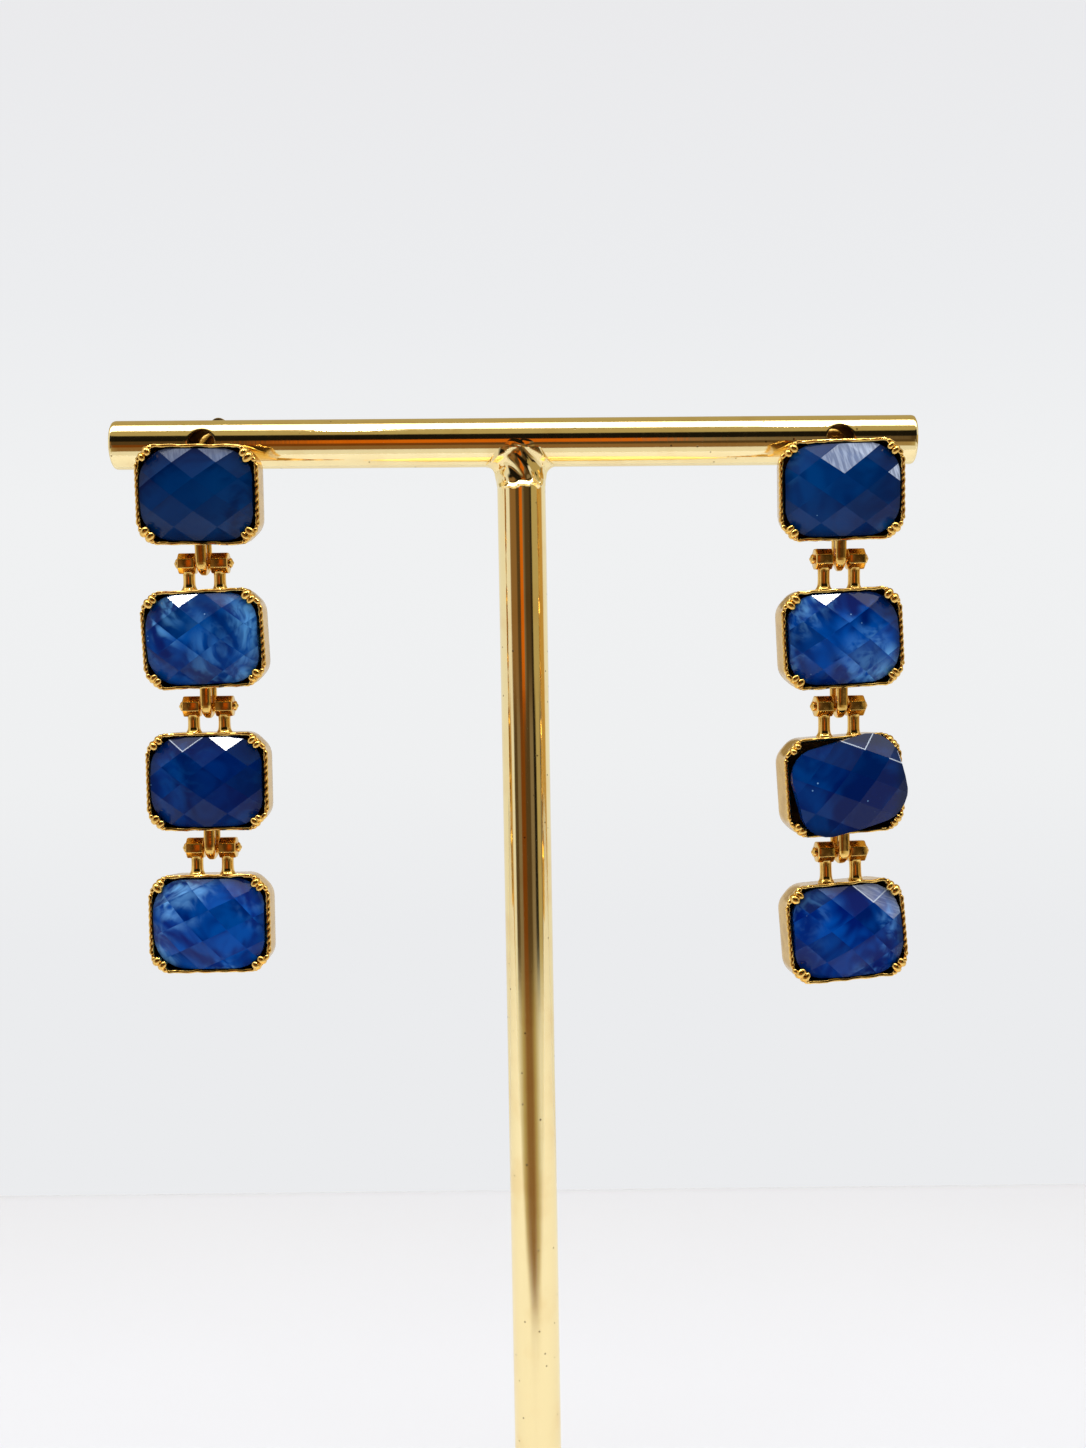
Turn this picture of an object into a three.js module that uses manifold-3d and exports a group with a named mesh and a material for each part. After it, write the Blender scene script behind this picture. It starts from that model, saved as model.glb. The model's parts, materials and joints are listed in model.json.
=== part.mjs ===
// A pair of four-stone drop earrings, hanging on a T-bar display stand.
// Millimetres, +Z up, fronts towards -Y. The origin is the middle of the stand's underside.
// Each earring is four closed-back settings. A ring under one setting holds a riveted pin,
// and the pin carries the two barrels and posts of the setting below.
import * as THREE from 'three';
import { ConvexGeometry } from 'three/addons/geometries/ConvexGeometry.js';
import { mergeVertices } from 'three/addons/utils/BufferGeometryUtils.js';
import Module from 'manifold-3d';

const wasm = await Module();
wasm.setup();

// Stand
const baseDiameter = 80;
const baseThickness = 4;
const baseBevel = 0.8;
const barHeight = 165; // the crossbar's axis above the table
const barLength = 99;
const barShift = -1; // its middle, sideways from the pole
const barTilt = 0.6; // degrees that it slopes down to the right, as it was soldered
const barDiameter = 6;
const barWall = 0.5;
const barEndBevel = 0.5;
const barPlugLength = 1.5;
const poleDiameter = 6;
const poleSocketDepth = 2.5;
const poleSocketGap = 0.15;
const postHoleDiameter = 3.3;
const postHoleFromEnd = 10.5; // from the ends of a crossbar that is centred on the pole
const solderReach = 2.2; // how far the solder runs down the pole below the crossbar
const solderSpread = 0.9; // how far it stands out beyond the pole under the crossbar
const solderBeadHeight = 0.6;
const solderBeadProud = 0.22;

// Setting: a box with cut corners, closed behind
const settingWidth = 14.5;
const settingHeight = 11.9;
const settingDepth = 4.4;
const settingWall = 0.4;
const settingBack = 0.8;
const cornerCut = 2;
const clawDiameter = 0.7;
const clawLength = 1.5;
const clawSpacing = 1.15;
const clawLean = 38; // degrees that a claw leans in over the corner

// Stone: a cushion with a checkerboard crown over an upright girdle and a tapered underside
const stoneGap = 0.12;
const stoneCornerRadius = 3.6;
const stoneCornerSteps = 5;
const girdleAboveRim = 0.15;
const girdleHeight = 0.7;
const stoneBelowGirdle = 2.5;
const stoneTaper = 32; // degrees that the underside leans in
const crownHeight = 1.9;
const facetAcross = 0.39; // spacing of the facet rows, as a share of the stone's half width
const facetUp = 0.35; // and of its half height

// Hinge between two settings
const pinDiameter = 0.8;
const pinPlay = 0.1;
const pinToUpper = 2.3; // pin axis below the upper setting
const pinForward = 0.3; // pin axis in front of the settings' middle plane
const rivetDiameter = 1.25;
const rivetHeight = 0.5;
const barrelSize = 2.5; // across the flats
const barrelLength = 2.1;
const barrelSpace = 1.9; // between the two barrels
const barrelSides = 8;
const postDiameter = 1.5;
const postSpacing = 3.75;
const postFoot = 0.25; // how far the solder flares at the foot
const ringWidth = 1.4;
const ringThickness = 1;
const ringBore = 1.7;

// Ear post and friction nut
const earPostDiameter = 0.9;
const earPostLength = 10.5;
const earPostAboveCentre = 5.3;
const settingToBar = 0.45; // between the setting's back and the crossbar, along the post
const nutLength = 8;
const nutWidth = 5.2;
const nutPlate = 0.5;
const nutScroll = 1.9;
const nutScrollWidth = 4.2;
const nutCorner = 1.1;
const nutGap = 0.6;
const nutBoreGap = 0.1;

// How each setting hangs, in degrees from the piece that carries it: faceUp leans the face up and
// turn faces it to the right. askew is how far its cup was soldered with the right side up, and
// side slides its pin along the ring, or the ear post across its hole, in mm. pinToLower is the
// height of an earring's pins above the setting below, in mm. nutTurn turns the friction nut.
const hangs = {
  left: {
    pinToLower: 3.2,
    nutTurn: 57,
    settings: [
      { faceUp: -4, turn: -0.5, askew: -1, side: 0.4 },
      { faceUp: 4, turn: 0, askew: 1.9, side: 0 },
      { faceUp: 2, turn: 0.4, askew: 0.1, side: 0 },
      { faceUp: 3, turn: -0.6, askew: 0.5, side: 0 },
    ],
  },
  right: {
    pinToLower: 3.6,
    nutTurn: 8,
    settings: [
      { faceUp: -4, turn: -1.8, askew: 1, side: -0.5 },
      { faceUp: 4, turn: 8, askew: 2.7, side: 0 },
      { faceUp: 2, turn: 4, askew: 3.2, side: 0 },
      { faceUp: 3, turn: -1.5, askew: 3.1, side: 0 },
    ],
  },
};

// How each stone sits in its setting: lattice turns its facets, and roll, turn and faceUp the whole
// stone, in degrees. lift stands it off its seat, as a share of the crown's height, and across and
// up move it in its setting, as shares of the stone's half width and half height.
const stones = {
  left: [
    { lattice: 0, roll: 0, turn: 0, faceUp: 0, lift: 0, across: 0, up: 0 },
    { lattice: -3, roll: 0, turn: 0, faceUp: 0, lift: 0, across: 0, up: 0 },
    { lattice: 0, roll: 0, turn: 0, faceUp: 0, lift: 0, across: 0, up: 0 },
    { lattice: -12, roll: 0, turn: 0, faceUp: 0, lift: 0, across: 0, up: 0 },
  ],
  right: [
    { lattice: 0, roll: 0, turn: 0, faceUp: 0, lift: 0, across: 0, up: 0 },
    { lattice: -5, roll: 0, turn: 0, faceUp: 0, lift: 0, across: 0, up: 0 },
    { lattice: 0, roll: 12, turn: -3, faceUp: 1, lift: 0.9, across: 0, up: 0.02 },
    { lattice: -9, roll: 0, turn: 0, faceUp: 0, lift: 0, across: 0, up: 0 },
  ],
};

// Overlaps inside one soldered solid, and how far a cutter runs past what it cuts
const solderBite = 0.2;
const cutMargin = 1;
const roundSides = 40;
const smallSides = 14;
const clawSides = 6;

const pinRadius = pinDiameter / 2;
const barRadius = barDiameter / 2;
const postHoleSpacing = barLength - 2 * postHoleFromEnd;
const rimFront = -settingDepth / 2;
const ringInner = ringBore / 2;
const ringOuter = ringInner + ringThickness;
const pinBelowCentre = settingHeight / 2 + pinToUpper;
const stoneHalfWidth = settingWidth / 2 - settingWall - stoneGap;
const stoneHalfHeight = settingHeight / 2 - settingWall - stoneGap;

function radians(degrees) {
  return THREE.MathUtils.degToRad(degrees);
}

// A closed geometry as a solid that can be joined and cut
function toSolid(geometry) {
  const bare = geometry.clone();
  bare.deleteAttribute('normal');
  bare.deleteAttribute('uv');
  const merged = mergeVertices(bare, 1e-5);
  const kept = [];
  const index = merged.index.array;
  for (let i = 0; i < index.length; i += 3) {
    const [a, b, c] = [index[i], index[i + 1], index[i + 2]];
    if (a !== b && b !== c && c !== a) kept.push(a, b, c);
  }
  return new wasm.Manifold(new wasm.Mesh({
    numProp: 3,
    vertProperties: new Float32Array(merged.attributes.position.array),
    triVerts: new Uint32Array(kept),
  }));
}

function joined(solids) {
  return solids.reduce((whole, solid) => whole.add(solid));
}

function toMesh(name, solid, material) {
  const { vertProperties, triVerts } = solid.getMesh();
  const geometry = new THREE.BufferGeometry();
  geometry.setAttribute('position', new THREE.BufferAttribute(new Float32Array(vertProperties), 3));
  geometry.setIndex(new THREE.BufferAttribute(new Uint32Array(triVerts), 1));
  geometry.computeVertexNormals();
  const mesh = new THREE.Mesh(geometry, material);
  mesh.name = name;
  return mesh;
}

// A profile of [radius, height] points turned round the Z axis
function turned(profile, sides) {
  const points = profile.map(([radius, height]) => new THREE.Vector2(radius, height));
  return new THREE.LatheGeometry(points, sides).rotateX(Math.PI / 2);
}

// An outline in X and Z, extruded from y = front to y = back
function plate(outline, front, back) {
  const geometry = new THREE.ExtrudeGeometry(outline, {
    depth: back - front,
    bevelEnabled: false,
    curveSegments: smallSides,
  });
  return geometry.rotateX(Math.PI / 2).translate(0, back, 0);
}

// A rod from z = low to z = high
function rod(diameter, low, high, sides) {
  const geometry = new THREE.CylinderGeometry(diameter / 2, diameter / 2, high - low, sides);
  return geometry.rotateX(Math.PI / 2).translate(0, 0, (low + high) / 2);
}

function cutCornerOutline(width, height, cut) {
  const [x, z] = [width / 2, height / 2];
  const outline = new THREE.Shape();
  outline.moveTo(-x + cut, -z);
  outline.lineTo(x - cut, -z);
  outline.lineTo(x, -z + cut);
  outline.lineTo(x, z - cut);
  outline.lineTo(x - cut, z);
  outline.lineTo(-x + cut, z);
  outline.lineTo(-x, z - cut);
  outline.lineTo(-x, -z + cut);
  outline.closePath();
  return outline;
}

function makeBase() {
  const outer = baseDiameter / 2;
  const socket = poleDiameter / 2 + poleSocketGap;
  const floor = baseThickness - poleSocketDepth;
  const profile = [
    [0, 0],
    [outer - baseBevel, 0],
    [outer, baseBevel],
    [outer, baseThickness - baseBevel],
    [outer - baseBevel, baseThickness],
    [socket, baseThickness],
    [socket, floor],
    [0, floor],
  ];
  return toSolid(turned(profile, roundSides * 1.5));
}

// A point of the sloping crossbar's axis, sideways from the pole
function onBar(across) {
  const slope = radians(barTilt);
  return new THREE.Vector3(across * Math.cos(slope), 0, barHeight - across * Math.sin(slope));
}

// Pole and crossbar in one, hollow along the crossbar, with a post hole for each earring
function makeStandFrame() {
  const half = barLength / 2;
  const under = barHeight - barRadius;
  const poleRadius = poleDiameter / 2;
  const bar = turned([
    [0, -half],
    [barRadius - barEndBevel, -half],
    [barRadius, -half + barEndBevel],
    [barRadius, half - barEndBevel],
    [barRadius - barEndBevel, half],
    [0, half],
  ], roundSides).rotateY(Math.PI / 2 + radians(barTilt)).translate(...onBar(barShift).toArray());
  const beadTop = under - solderReach;
  const pole = turned([
    [0, baseThickness - poleSocketDepth + poleSocketGap],
    [poleRadius, baseThickness - poleSocketDepth + poleSocketGap],
    [poleRadius, beadTop - solderBeadHeight],
    [poleRadius + solderBeadProud, beadTop - solderBeadHeight / 2],
    [poleRadius + solderBeadProud / 2, beadTop],
    [poleRadius + solderSpread / 4, under - solderReach / 3],
    [poleRadius + solderSpread, under + barRadius / 3],
    [0, under + barRadius / 3],
  ], roundSides);
  const bore = rod(barDiameter - 2 * barWall, -half + barPlugLength, half - barPlugLength, roundSides);
  let frame = joined([toSolid(bar), toSolid(pole)]);
  bore.rotateY(Math.PI / 2 + radians(barTilt)).translate(...onBar(barShift).toArray());
  frame = frame.subtract(toSolid(bore));
  for (const side of [-1, 1]) {
    const drill = rod(postHoleDiameter, -barRadius - cutMargin, barRadius + cutMargin, smallSides * 1.5);
    drill.rotateX(Math.PI / 2).translate(...onBar((side * postHoleSpacing) / 2).toArray());
    frame = frame.subtract(toSolid(drill));
  }
  return frame;
}

// Two claws on each cut corner, leaning in over the gap beside the stone
function claws(askew) {
  const made = [];
  const straight = Math.SQRT1_2;
  const cornerX = settingWidth / 2 - cornerCut / 2;
  const cornerZ = settingHeight / 2 - cornerCut / 2;
  for (const sx of [-1, 1]) {
    for (const sz of [-1, 1]) {
      for (const along of [-clawSpacing / 2, clawSpacing / 2]) {
        const claw = new THREE.SphereGeometry(0.5, clawSides, clawSides - 1);
        claw.scale(clawDiameter, clawLength, clawDiameter);
        const inward = new THREE.Vector3(-sx * straight, 0, -sz * straight);
        const lean = new THREE.Vector3(0, -1, 0).multiplyScalar(Math.cos(radians(clawLean)));
        lean.addScaledVector(inward, Math.sin(radians(clawLean)));
        claw.applyQuaternion(new THREE.Quaternion().setFromUnitVectors(new THREE.Vector3(0, 1, 0), lean));
        const wallMiddle = settingWall / 2;
        claw.translate(
          sx * cornerX + straight * (-sx * wallMiddle + sx * along),
          rimFront + clawDiameter / 4,
          sz * cornerZ + straight * (-sz * wallMiddle - sz * along),
        );
        made.push(toSolid(claw.rotateY(-radians(askew))));
      }
    }
  }
  return made;
}

// The strap under a setting: two legs and a half round, open at the top into the wall
function ringStrap() {
  const pinHeight = -pinBelowCentre;
  const centre = pinHeight + ringInner - pinRadius - pinPlay;
  const top = -settingHeight / 2 + settingWall / 2;
  const outline = new THREE.Shape();
  outline.moveTo(-ringOuter, top);
  outline.lineTo(-ringOuter, centre);
  outline.absarc(0, centre, ringOuter, Math.PI, 2 * Math.PI, false);
  outline.lineTo(ringOuter, top);
  outline.lineTo(ringInner, top);
  outline.lineTo(ringInner, centre);
  outline.absarc(0, centre, ringInner, 0, Math.PI, true);
  outline.lineTo(-ringInner, top);
  outline.closePath();
  const strap = new THREE.ExtrudeGeometry(outline, {
    depth: ringWidth,
    bevelEnabled: false,
    curveSegments: smallSides / 2,
  });
  const alongX = new THREE.Matrix4().makeBasis(
    new THREE.Vector3(0, 1, 0),
    new THREE.Vector3(0, 0, 1),
    new THREE.Vector3(1, 0, 0),
  );
  strap.applyMatrix4(alongX).translate(-ringWidth / 2, -pinForward, 0);
  return toSolid(strap);
}

// The two posts and barrels over a setting, before the pin's bore is drilled
function barrelsAndPosts(pinAboveCentre) {
  const made = [];
  const foot = settingHeight / 2 - settingWall / 2;
  const radius = postDiameter / 2;
  const acrossCorners = barrelSize / Math.cos(Math.PI / barrelSides);
  for (const side of [-1, 1]) {
    const post = turned([
      [0, foot],
      [radius + postFoot, foot],
      [radius + postFoot, foot + settingWall / 2],
      [radius, foot + settingWall / 2 + 2 * postFoot],
      [radius, pinAboveCentre - barrelSize / 2 + solderBite],
      [0, pinAboveCentre - barrelSize / 2 + solderBite],
    ], smallSides);
    post.translate((side * postSpacing) / 2, -pinForward, 0);
    const barrel = rod(acrossCorners, -barrelLength / 2, barrelLength / 2, barrelSides);
    barrel.rotateZ(Math.PI / barrelSides).rotateY(Math.PI / 2);
    barrel.translate((side * (barrelSpace + barrelLength)) / 2, -pinForward, pinAboveCentre);
    made.push(toSolid(post), toSolid(barrel));
  }
  return made;
}

function pinBore(pinAboveCentre) {
  const reach = barrelSpace / 2 + barrelLength + cutMargin;
  const bore = rod(pinDiameter + 2 * pinPlay, -reach, reach, smallSides);
  return toSolid(bore.rotateY(Math.PI / 2).translate(0, -pinForward, pinAboveCentre));
}

function earPost() {
  const start = settingDepth / 2 - settingBack / 2;
  const post = rod(earPostDiameter, -settingDepth / 2 - earPostLength, -start, smallSides);
  return toSolid(post.rotateX(Math.PI / 2).translate(0, 0, earPostAboveCentre));
}

// pinAboveCentre is left out for the top setting, which has an ear post in place of a hinge
function makeSetting(askew, hasRing, pinAboveCentre) {
  const outer = cutCornerOutline(settingWidth, settingHeight, cornerCut);
  const innerCut = cornerCut - settingWall * (2 - Math.SQRT2);
  const inner = cutCornerOutline(settingWidth - 2 * settingWall, settingHeight - 2 * settingWall, innerCut);
  const box = plate(outer, rimFront, settingDepth / 2).rotateY(-radians(askew));
  const hollow = plate(inner, rimFront - cutMargin, settingDepth / 2 - settingBack).rotateY(-radians(askew));
  const parts = [toSolid(box).subtract(toSolid(hollow)), ...claws(askew)];
  if (pinAboveCentre) parts.push(...barrelsAndPosts(pinAboveCentre));
  else parts.push(earPost());
  if (hasRing) parts.push(ringStrap());
  let setting = joined(parts);
  if (pinAboveCentre) setting = setting.subtract(pinBore(pinAboveCentre));
  return setting;
}

// Half planes of a rounded rectangle, as {x, z, reach}: x * px + z * pz <= reach
function cushionSides() {
  const sides = [];
  const radius = stoneCornerRadius;
  const steps = stoneCornerSteps;
  for (let quarter = 0; quarter < 4; quarter += 1) {
    for (let step = 0; step <= steps; step += 1) {
      const angle = ((quarter + step / (steps + 1)) * Math.PI) / 2;
      const [x, z] = [Math.cos(angle), Math.sin(angle)];
      const reach = Math.abs(x) * (stoneHalfWidth - radius) + Math.abs(z) * (stoneHalfHeight - radius) + radius;
      sides.push({ x, z, reach });
    }
  }
  return sides;
}

// Planes of one stone as normal and distance, with the girdle's lower edge at y = 0.
// The crown's planes touch a paraboloid over a lattice of points, so that they meet in diamonds.
function stonePlanes(lattice) {
  const planes = [];
  const across = facetAcross * stoneHalfWidth;
  const up = facetUp * stoneHalfHeight;
  const crownTop = girdleHeight + crownHeight;
  const fall = crownHeight * facetUp * facetUp;
  const [c, s] = [Math.cos(radians(lattice)), Math.sin(radians(lattice))];
  for (let i = -3; i <= 3; i += 1) {
    for (let j = -3; j <= 3; j += 1) {
      if ((i + j) % 2 !== 0) continue;
      const [px, pz] = [(2 * fall * i) / across, (2 * fall * j) / up];
      const normal = new THREE.Vector3(px * c - pz * s, -1, px * s + pz * c);
      const size = normal.length();
      planes.push({ normal: normal.divideScalar(size), reach: (crownTop + fall * (i * i + j * j)) / size });
    }
  }
  const taper = radians(stoneTaper);
  for (const { x, z, reach } of cushionSides()) {
    planes.push({ normal: new THREE.Vector3(x, 0, z), reach });
    const lower = new THREE.Vector3(x * Math.cos(taper), Math.sin(taper), z * Math.cos(taper));
    planes.push({ normal: lower, reach: reach * Math.cos(taper) });
  }
  planes.push({ normal: new THREE.Vector3(0, 1, 0), reach: stoneBelowGirdle });
  return planes;
}

// The corners where three planes meet inside all the others, hulled
function makeStone(lattice) {
  const planes = stonePlanes(lattice);
  const corners = new Map();
  const cross = new THREE.Vector3();
  for (let a = 0; a < planes.length; a += 1) {
    for (let b = a + 1; b < planes.length; b += 1) {
      const ab = planes[a].normal.clone().cross(planes[b].normal);
      for (let c = b + 1; c < planes.length; c += 1) {
        const volume = ab.dot(planes[c].normal);
        if (Math.abs(volume) < 1e-6) continue;
        const point = ab.clone().multiplyScalar(planes[c].reach);
        point.addScaledVector(cross.crossVectors(planes[b].normal, planes[c].normal), planes[a].reach);
        point.addScaledVector(cross.crossVectors(planes[c].normal, planes[a].normal), planes[b].reach);
        point.divideScalar(volume);
        if (planes.some(({ normal, reach }) => normal.dot(point) > reach + 1e-6)) continue;
        corners.set(point.toArray().map((value) => value.toFixed(3)).join(), point);
      }
    }
  }
  return toSolid(new ConvexGeometry([...corners.values()]));
}

// The riveted pin, along X, with a dome outside each barrel
function makePin() {
  const end = barrelSpace / 2 + barrelLength + pinPlay;
  const dome = rivetDiameter / 2;
  const profile = [
    [0, -end - rivetHeight],
    [dome * 0.7, -end - rivetHeight * 0.75],
    [dome, -end - rivetHeight * 0.25],
    [dome, -end],
    [pinRadius, -end],
    [pinRadius, end],
    [dome, end],
    [dome, end + rivetHeight * 0.25],
    [dome * 0.7, end + rivetHeight * 0.75],
    [0, end + rivetHeight],
  ];
  return toSolid(turned(profile, smallSides - 4).rotateY(Math.PI / 2));
}

// A plate with two scrolls behind it that grip the post, bored along Y
function makeNut() {
  const [x, z] = [nutLength / 2, nutWidth / 2];
  const outline = new THREE.Shape();
  outline.moveTo(-x + nutCorner, -z);
  outline.absarc(x - nutCorner, -z + nutCorner, nutCorner, -Math.PI / 2, 0, false);
  outline.absarc(x - nutCorner, z - nutCorner, nutCorner, 0, Math.PI / 2, false);
  outline.absarc(-x + nutCorner, z - nutCorner, nutCorner, Math.PI / 2, Math.PI, false);
  outline.absarc(-x + nutCorner, -z + nutCorner, nutCorner, Math.PI, 1.5 * Math.PI, false);
  const face = new THREE.ExtrudeGeometry(outline, { depth: nutPlate, bevelEnabled: false, curveSegments: 4 });
  const parts = [toSolid(face.rotateX(Math.PI / 2).translate(0, nutPlate, 0))];
  for (const side of [-1, 1]) {
    const scroll = rod(nutScroll, -nutScrollWidth / 2, nutScrollWidth / 2, smallSides - 4);
    scroll.translate(side * (nutScroll / 2), nutPlate + nutScroll / 2 - solderBite, 0);
    parts.push(toSolid(scroll));
  }
  const bore = rod(earPostDiameter + 2 * nutBoreGap, -nutPlate - nutScroll - cutMargin, cutMargin, smallSides - 4);
  return joined(parts).subtract(toSolid(bore.rotateX(Math.PI / 2)));
}

function metal(color, roughness) {
  return new THREE.MeshStandardMaterial({ color, roughness, metalness: 1 });
}

function hung({ faceUp, turn, roll = 0 }) {
  const group = new THREE.Group();
  group.rotation.set(-radians(faceUp), -radians(roll), radians(turn));
  return group;
}

// A setting and its stone in one group, whose origin is the setting's middle
function settingWithStone(name, number, pinAboveCentre) {
  const group = new THREE.Group();
  const { settings } = hangs[name];
  const { askew } = settings[number - 1];
  const hasRing = number < settings.length;
  const place = stones[name][number - 1];
  const gold = metal(number % 2 ? 0xd9a441 : 0xd6a03c, 0.22);
  group.add(toMesh(`${name}_setting_${number}`, makeSetting(askew, hasRing, pinAboveCentre), gold));
  const blue = new THREE.MeshStandardMaterial({ color: 0x123a86, roughness: 0.08, metalness: 0.1 });
  const seated = hung(place);
  seated.position.set(
    place.across * stoneHalfWidth,
    rimFront - girdleAboveRim + girdleHeight - place.lift * crownHeight,
    place.up * stoneHalfHeight,
  );
  seated.add(toMesh(`${name}_stone_${number}`, makeStone(place.lattice), blue));
  const inCup = hung({ faceUp: 0, turn: 0, roll: askew });
  inCup.add(seated);
  group.add(inCup);
  return group;
}

// One earring, from its post hole down. Each setting hangs in the group of the one above.
function makeEarring(name) {
  const earring = new THREE.Group();
  const { nutTurn, pinToLower, settings } = hangs[name];
  const pinAboveCentre = settingHeight / 2 + pinToLower;
  const lip = Math.sqrt(barRadius * barRadius - (postHoleDiameter * postHoleDiameter) / 4);
  const slack = (postHoleDiameter - earPostDiameter) / 2 - pinPlay;
  const { side } = settings[0];
  let carrier = hung(settings[0]);
  carrier.position.set(side, -lip, -Math.sqrt(slack * slack - side * side));
  earring.add(carrier);
  const nut = toMesh(`${name}_ear_nut`, makeNut(), metal(0xcfa14b, 0.3));
  nut.rotation.y = -radians(nutTurn);
  nut.position.y = lip + barRadius + nutGap;
  carrier.add(nut);
  const behind = settingDepth / 2 + settingToBar + barRadius - lip;
  let middle = settingWithStone(name, 1);
  middle.position.set(0, -behind, -earPostAboveCentre);
  carrier.add(middle);
  for (let number = 2; number <= settings.length; number += 1) {
    const hang = settings[number - 1];
    carrier = hung(hang);
    carrier.position.set(hang.side, -pinForward, -pinBelowCentre);
    middle.add(carrier);
    carrier.add(toMesh(`${name}_hinge_pin_${number - 1}`, makePin(), metal(0xe0b052, 0.2)));
    middle = settingWithStone(name, number, pinAboveCentre);
    middle.position.set(0, pinForward, -pinAboveCentre);
    carrier.add(middle);
  }
  return earring;
}

const group = new THREE.Group();
group.add(toMesh('stand_base', makeBase(), metal(0xd8b66a, 0.35)));
group.add(toMesh('stand_frame', makeStandFrame(), metal(0xd8b66a, 0.25)));
for (const [name, side] of [['left', -1], ['right', 1]]) {
  const earring = makeEarring(name);
  earring.position.copy(onBar((side * postHoleSpacing) / 2));
  group.add(earring);
}

export default group;
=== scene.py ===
# A pair of four-stone drop earrings on a T-bar stand.
# Lengths are in millimetres and go into the meshes in metres. Fronts face -Y, and Z is up.
import json
from math import radians, sqrt

import bmesh
import bpy
import numpy as np
from mathutils import Matrix, Vector

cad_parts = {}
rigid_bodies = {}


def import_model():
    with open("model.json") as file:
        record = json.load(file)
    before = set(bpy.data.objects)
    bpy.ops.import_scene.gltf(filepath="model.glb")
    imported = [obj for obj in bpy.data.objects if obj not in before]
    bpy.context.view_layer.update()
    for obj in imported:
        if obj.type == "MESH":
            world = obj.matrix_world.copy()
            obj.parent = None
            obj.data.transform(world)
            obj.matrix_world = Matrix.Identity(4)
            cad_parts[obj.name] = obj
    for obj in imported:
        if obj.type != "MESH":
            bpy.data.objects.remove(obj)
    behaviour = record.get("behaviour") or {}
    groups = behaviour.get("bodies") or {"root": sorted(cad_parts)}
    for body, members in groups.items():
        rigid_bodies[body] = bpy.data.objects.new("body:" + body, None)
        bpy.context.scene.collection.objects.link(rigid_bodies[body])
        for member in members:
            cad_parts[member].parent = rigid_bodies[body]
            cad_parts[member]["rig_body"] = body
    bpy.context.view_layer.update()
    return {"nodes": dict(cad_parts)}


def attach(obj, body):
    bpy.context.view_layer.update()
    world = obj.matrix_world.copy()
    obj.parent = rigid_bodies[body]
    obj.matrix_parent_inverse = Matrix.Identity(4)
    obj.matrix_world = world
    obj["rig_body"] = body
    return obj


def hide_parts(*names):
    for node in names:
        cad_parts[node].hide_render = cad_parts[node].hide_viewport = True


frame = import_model()
scene = bpy.context.scene
print("frame loaded:", len(frame["nodes"]), "nodes")

camera = {
    "aim": (2.2, 0, 130.0),
    "distance": 188.5,
    "azimuth": 0.8,  # degrees round to the right
    "elevation": 4.5,
    "roll": -0.95,
    "lens": 36 * 1500 / 1448,
}


def unit(vector):
    return np.asarray(vector, float) / np.linalg.norm(vector)


def cameraFrame():
    # looks from azimuth and elevation at the aim, then rolls about the line of sight
    azimuth, elevation, roll = (radians(camera[key]) for key in ("azimuth", "elevation", "roll"))
    back = np.array([
        np.sin(azimuth) * np.cos(elevation),
        -np.cos(azimuth) * np.cos(elevation),
        np.sin(elevation),
    ])
    level = unit(np.cross([0, 0, 1], back))
    upright = np.cross(back, level)
    right = level * np.cos(roll) + upright * np.sin(roll)
    up = upright * np.cos(roll) - level * np.sin(roll)
    return right, up, back, np.array(camera["aim"]) + back * camera["distance"]


def addCamera():
    right, up, back, place = cameraFrame()
    data = bpy.data.cameras.new("camera")
    data.sensor_width = 36
    data.lens = camera["lens"]
    data.clip_start, data.clip_end = 0.005, 20
    lookout = bpy.data.objects.new("camera", data)
    turn = Matrix(np.column_stack([right, up, back]).tolist()).to_4x4()
    lookout.matrix_world = Matrix.Translation(Vector(place * 0.001)) @ turn
    scene.collection.objects.link(lookout)
    scene.camera = lookout


addCamera()


def turning(faceUp, turn, roll=0):
    # rotation by -faceUp about X, then -roll about Y, then turn about Z, in degrees
    a, b, c = radians(-faceUp), radians(-roll), radians(turn)
    aboutX = np.array([[1, 0, 0], [0, np.cos(a), -np.sin(a)], [0, np.sin(a), np.cos(a)]])
    aboutY = np.array([[np.cos(b), 0, np.sin(b)], [0, 1, 0], [-np.sin(b), 0, np.cos(b)]])
    aboutZ = np.array([[np.cos(c), -np.sin(c), 0], [np.sin(c), np.cos(c), 0], [0, 0, 1]])
    return aboutX @ aboutY @ aboutZ


def placed(surfaces, place):
    # rotated, then moved
    rotation, shift = place
    return [(points @ rotation.T + shift, faces, depth) for points, faces, depth in surfaces]


def inside(place, rotation, shift):
    # the place of something turned and moved inside another place
    return place[0] @ rotation, place[0] @ np.asarray(shift, float) + place[1]


def gridFaces(rows, columns, wrap=True):
    # quads between neighbouring rows; the last column joins the first where it wraps
    index = np.arange(rows * columns).reshape(rows, columns)
    following = np.roll(index, -1, axis=1)
    if not wrap:
        index, following = index[:, :-1], following[:, :-1]
    return np.stack([index[:-1], index[1:], following[1:], following[:-1]], -1).reshape(-1, 4)


def surface(grid, recess=0.0, wrap=True):
    # a grid of points [row, column] as points, quads and how much painted shade each point carries
    rows, columns = grid.shape[:2]
    depth = np.broadcast_to(np.asarray(recess, float).reshape(-1, 1), (rows, columns))
    return grid.reshape(-1, 3), gridFaces(rows, columns, wrap=wrap), depth.reshape(-1)


def joined(surfaces):
    # several surfaces as one list each of points, quads and painted shade amounts
    counts = np.cumsum([0] + [len(points) for points, _, _ in surfaces])
    points = np.concatenate([points for points, _, _ in surfaces])
    faces = np.concatenate([faces + start for (_, faces, _), start in zip(surfaces, counts)])
    return points, faces, np.concatenate([depth for _, _, depth in surfaces])


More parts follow.
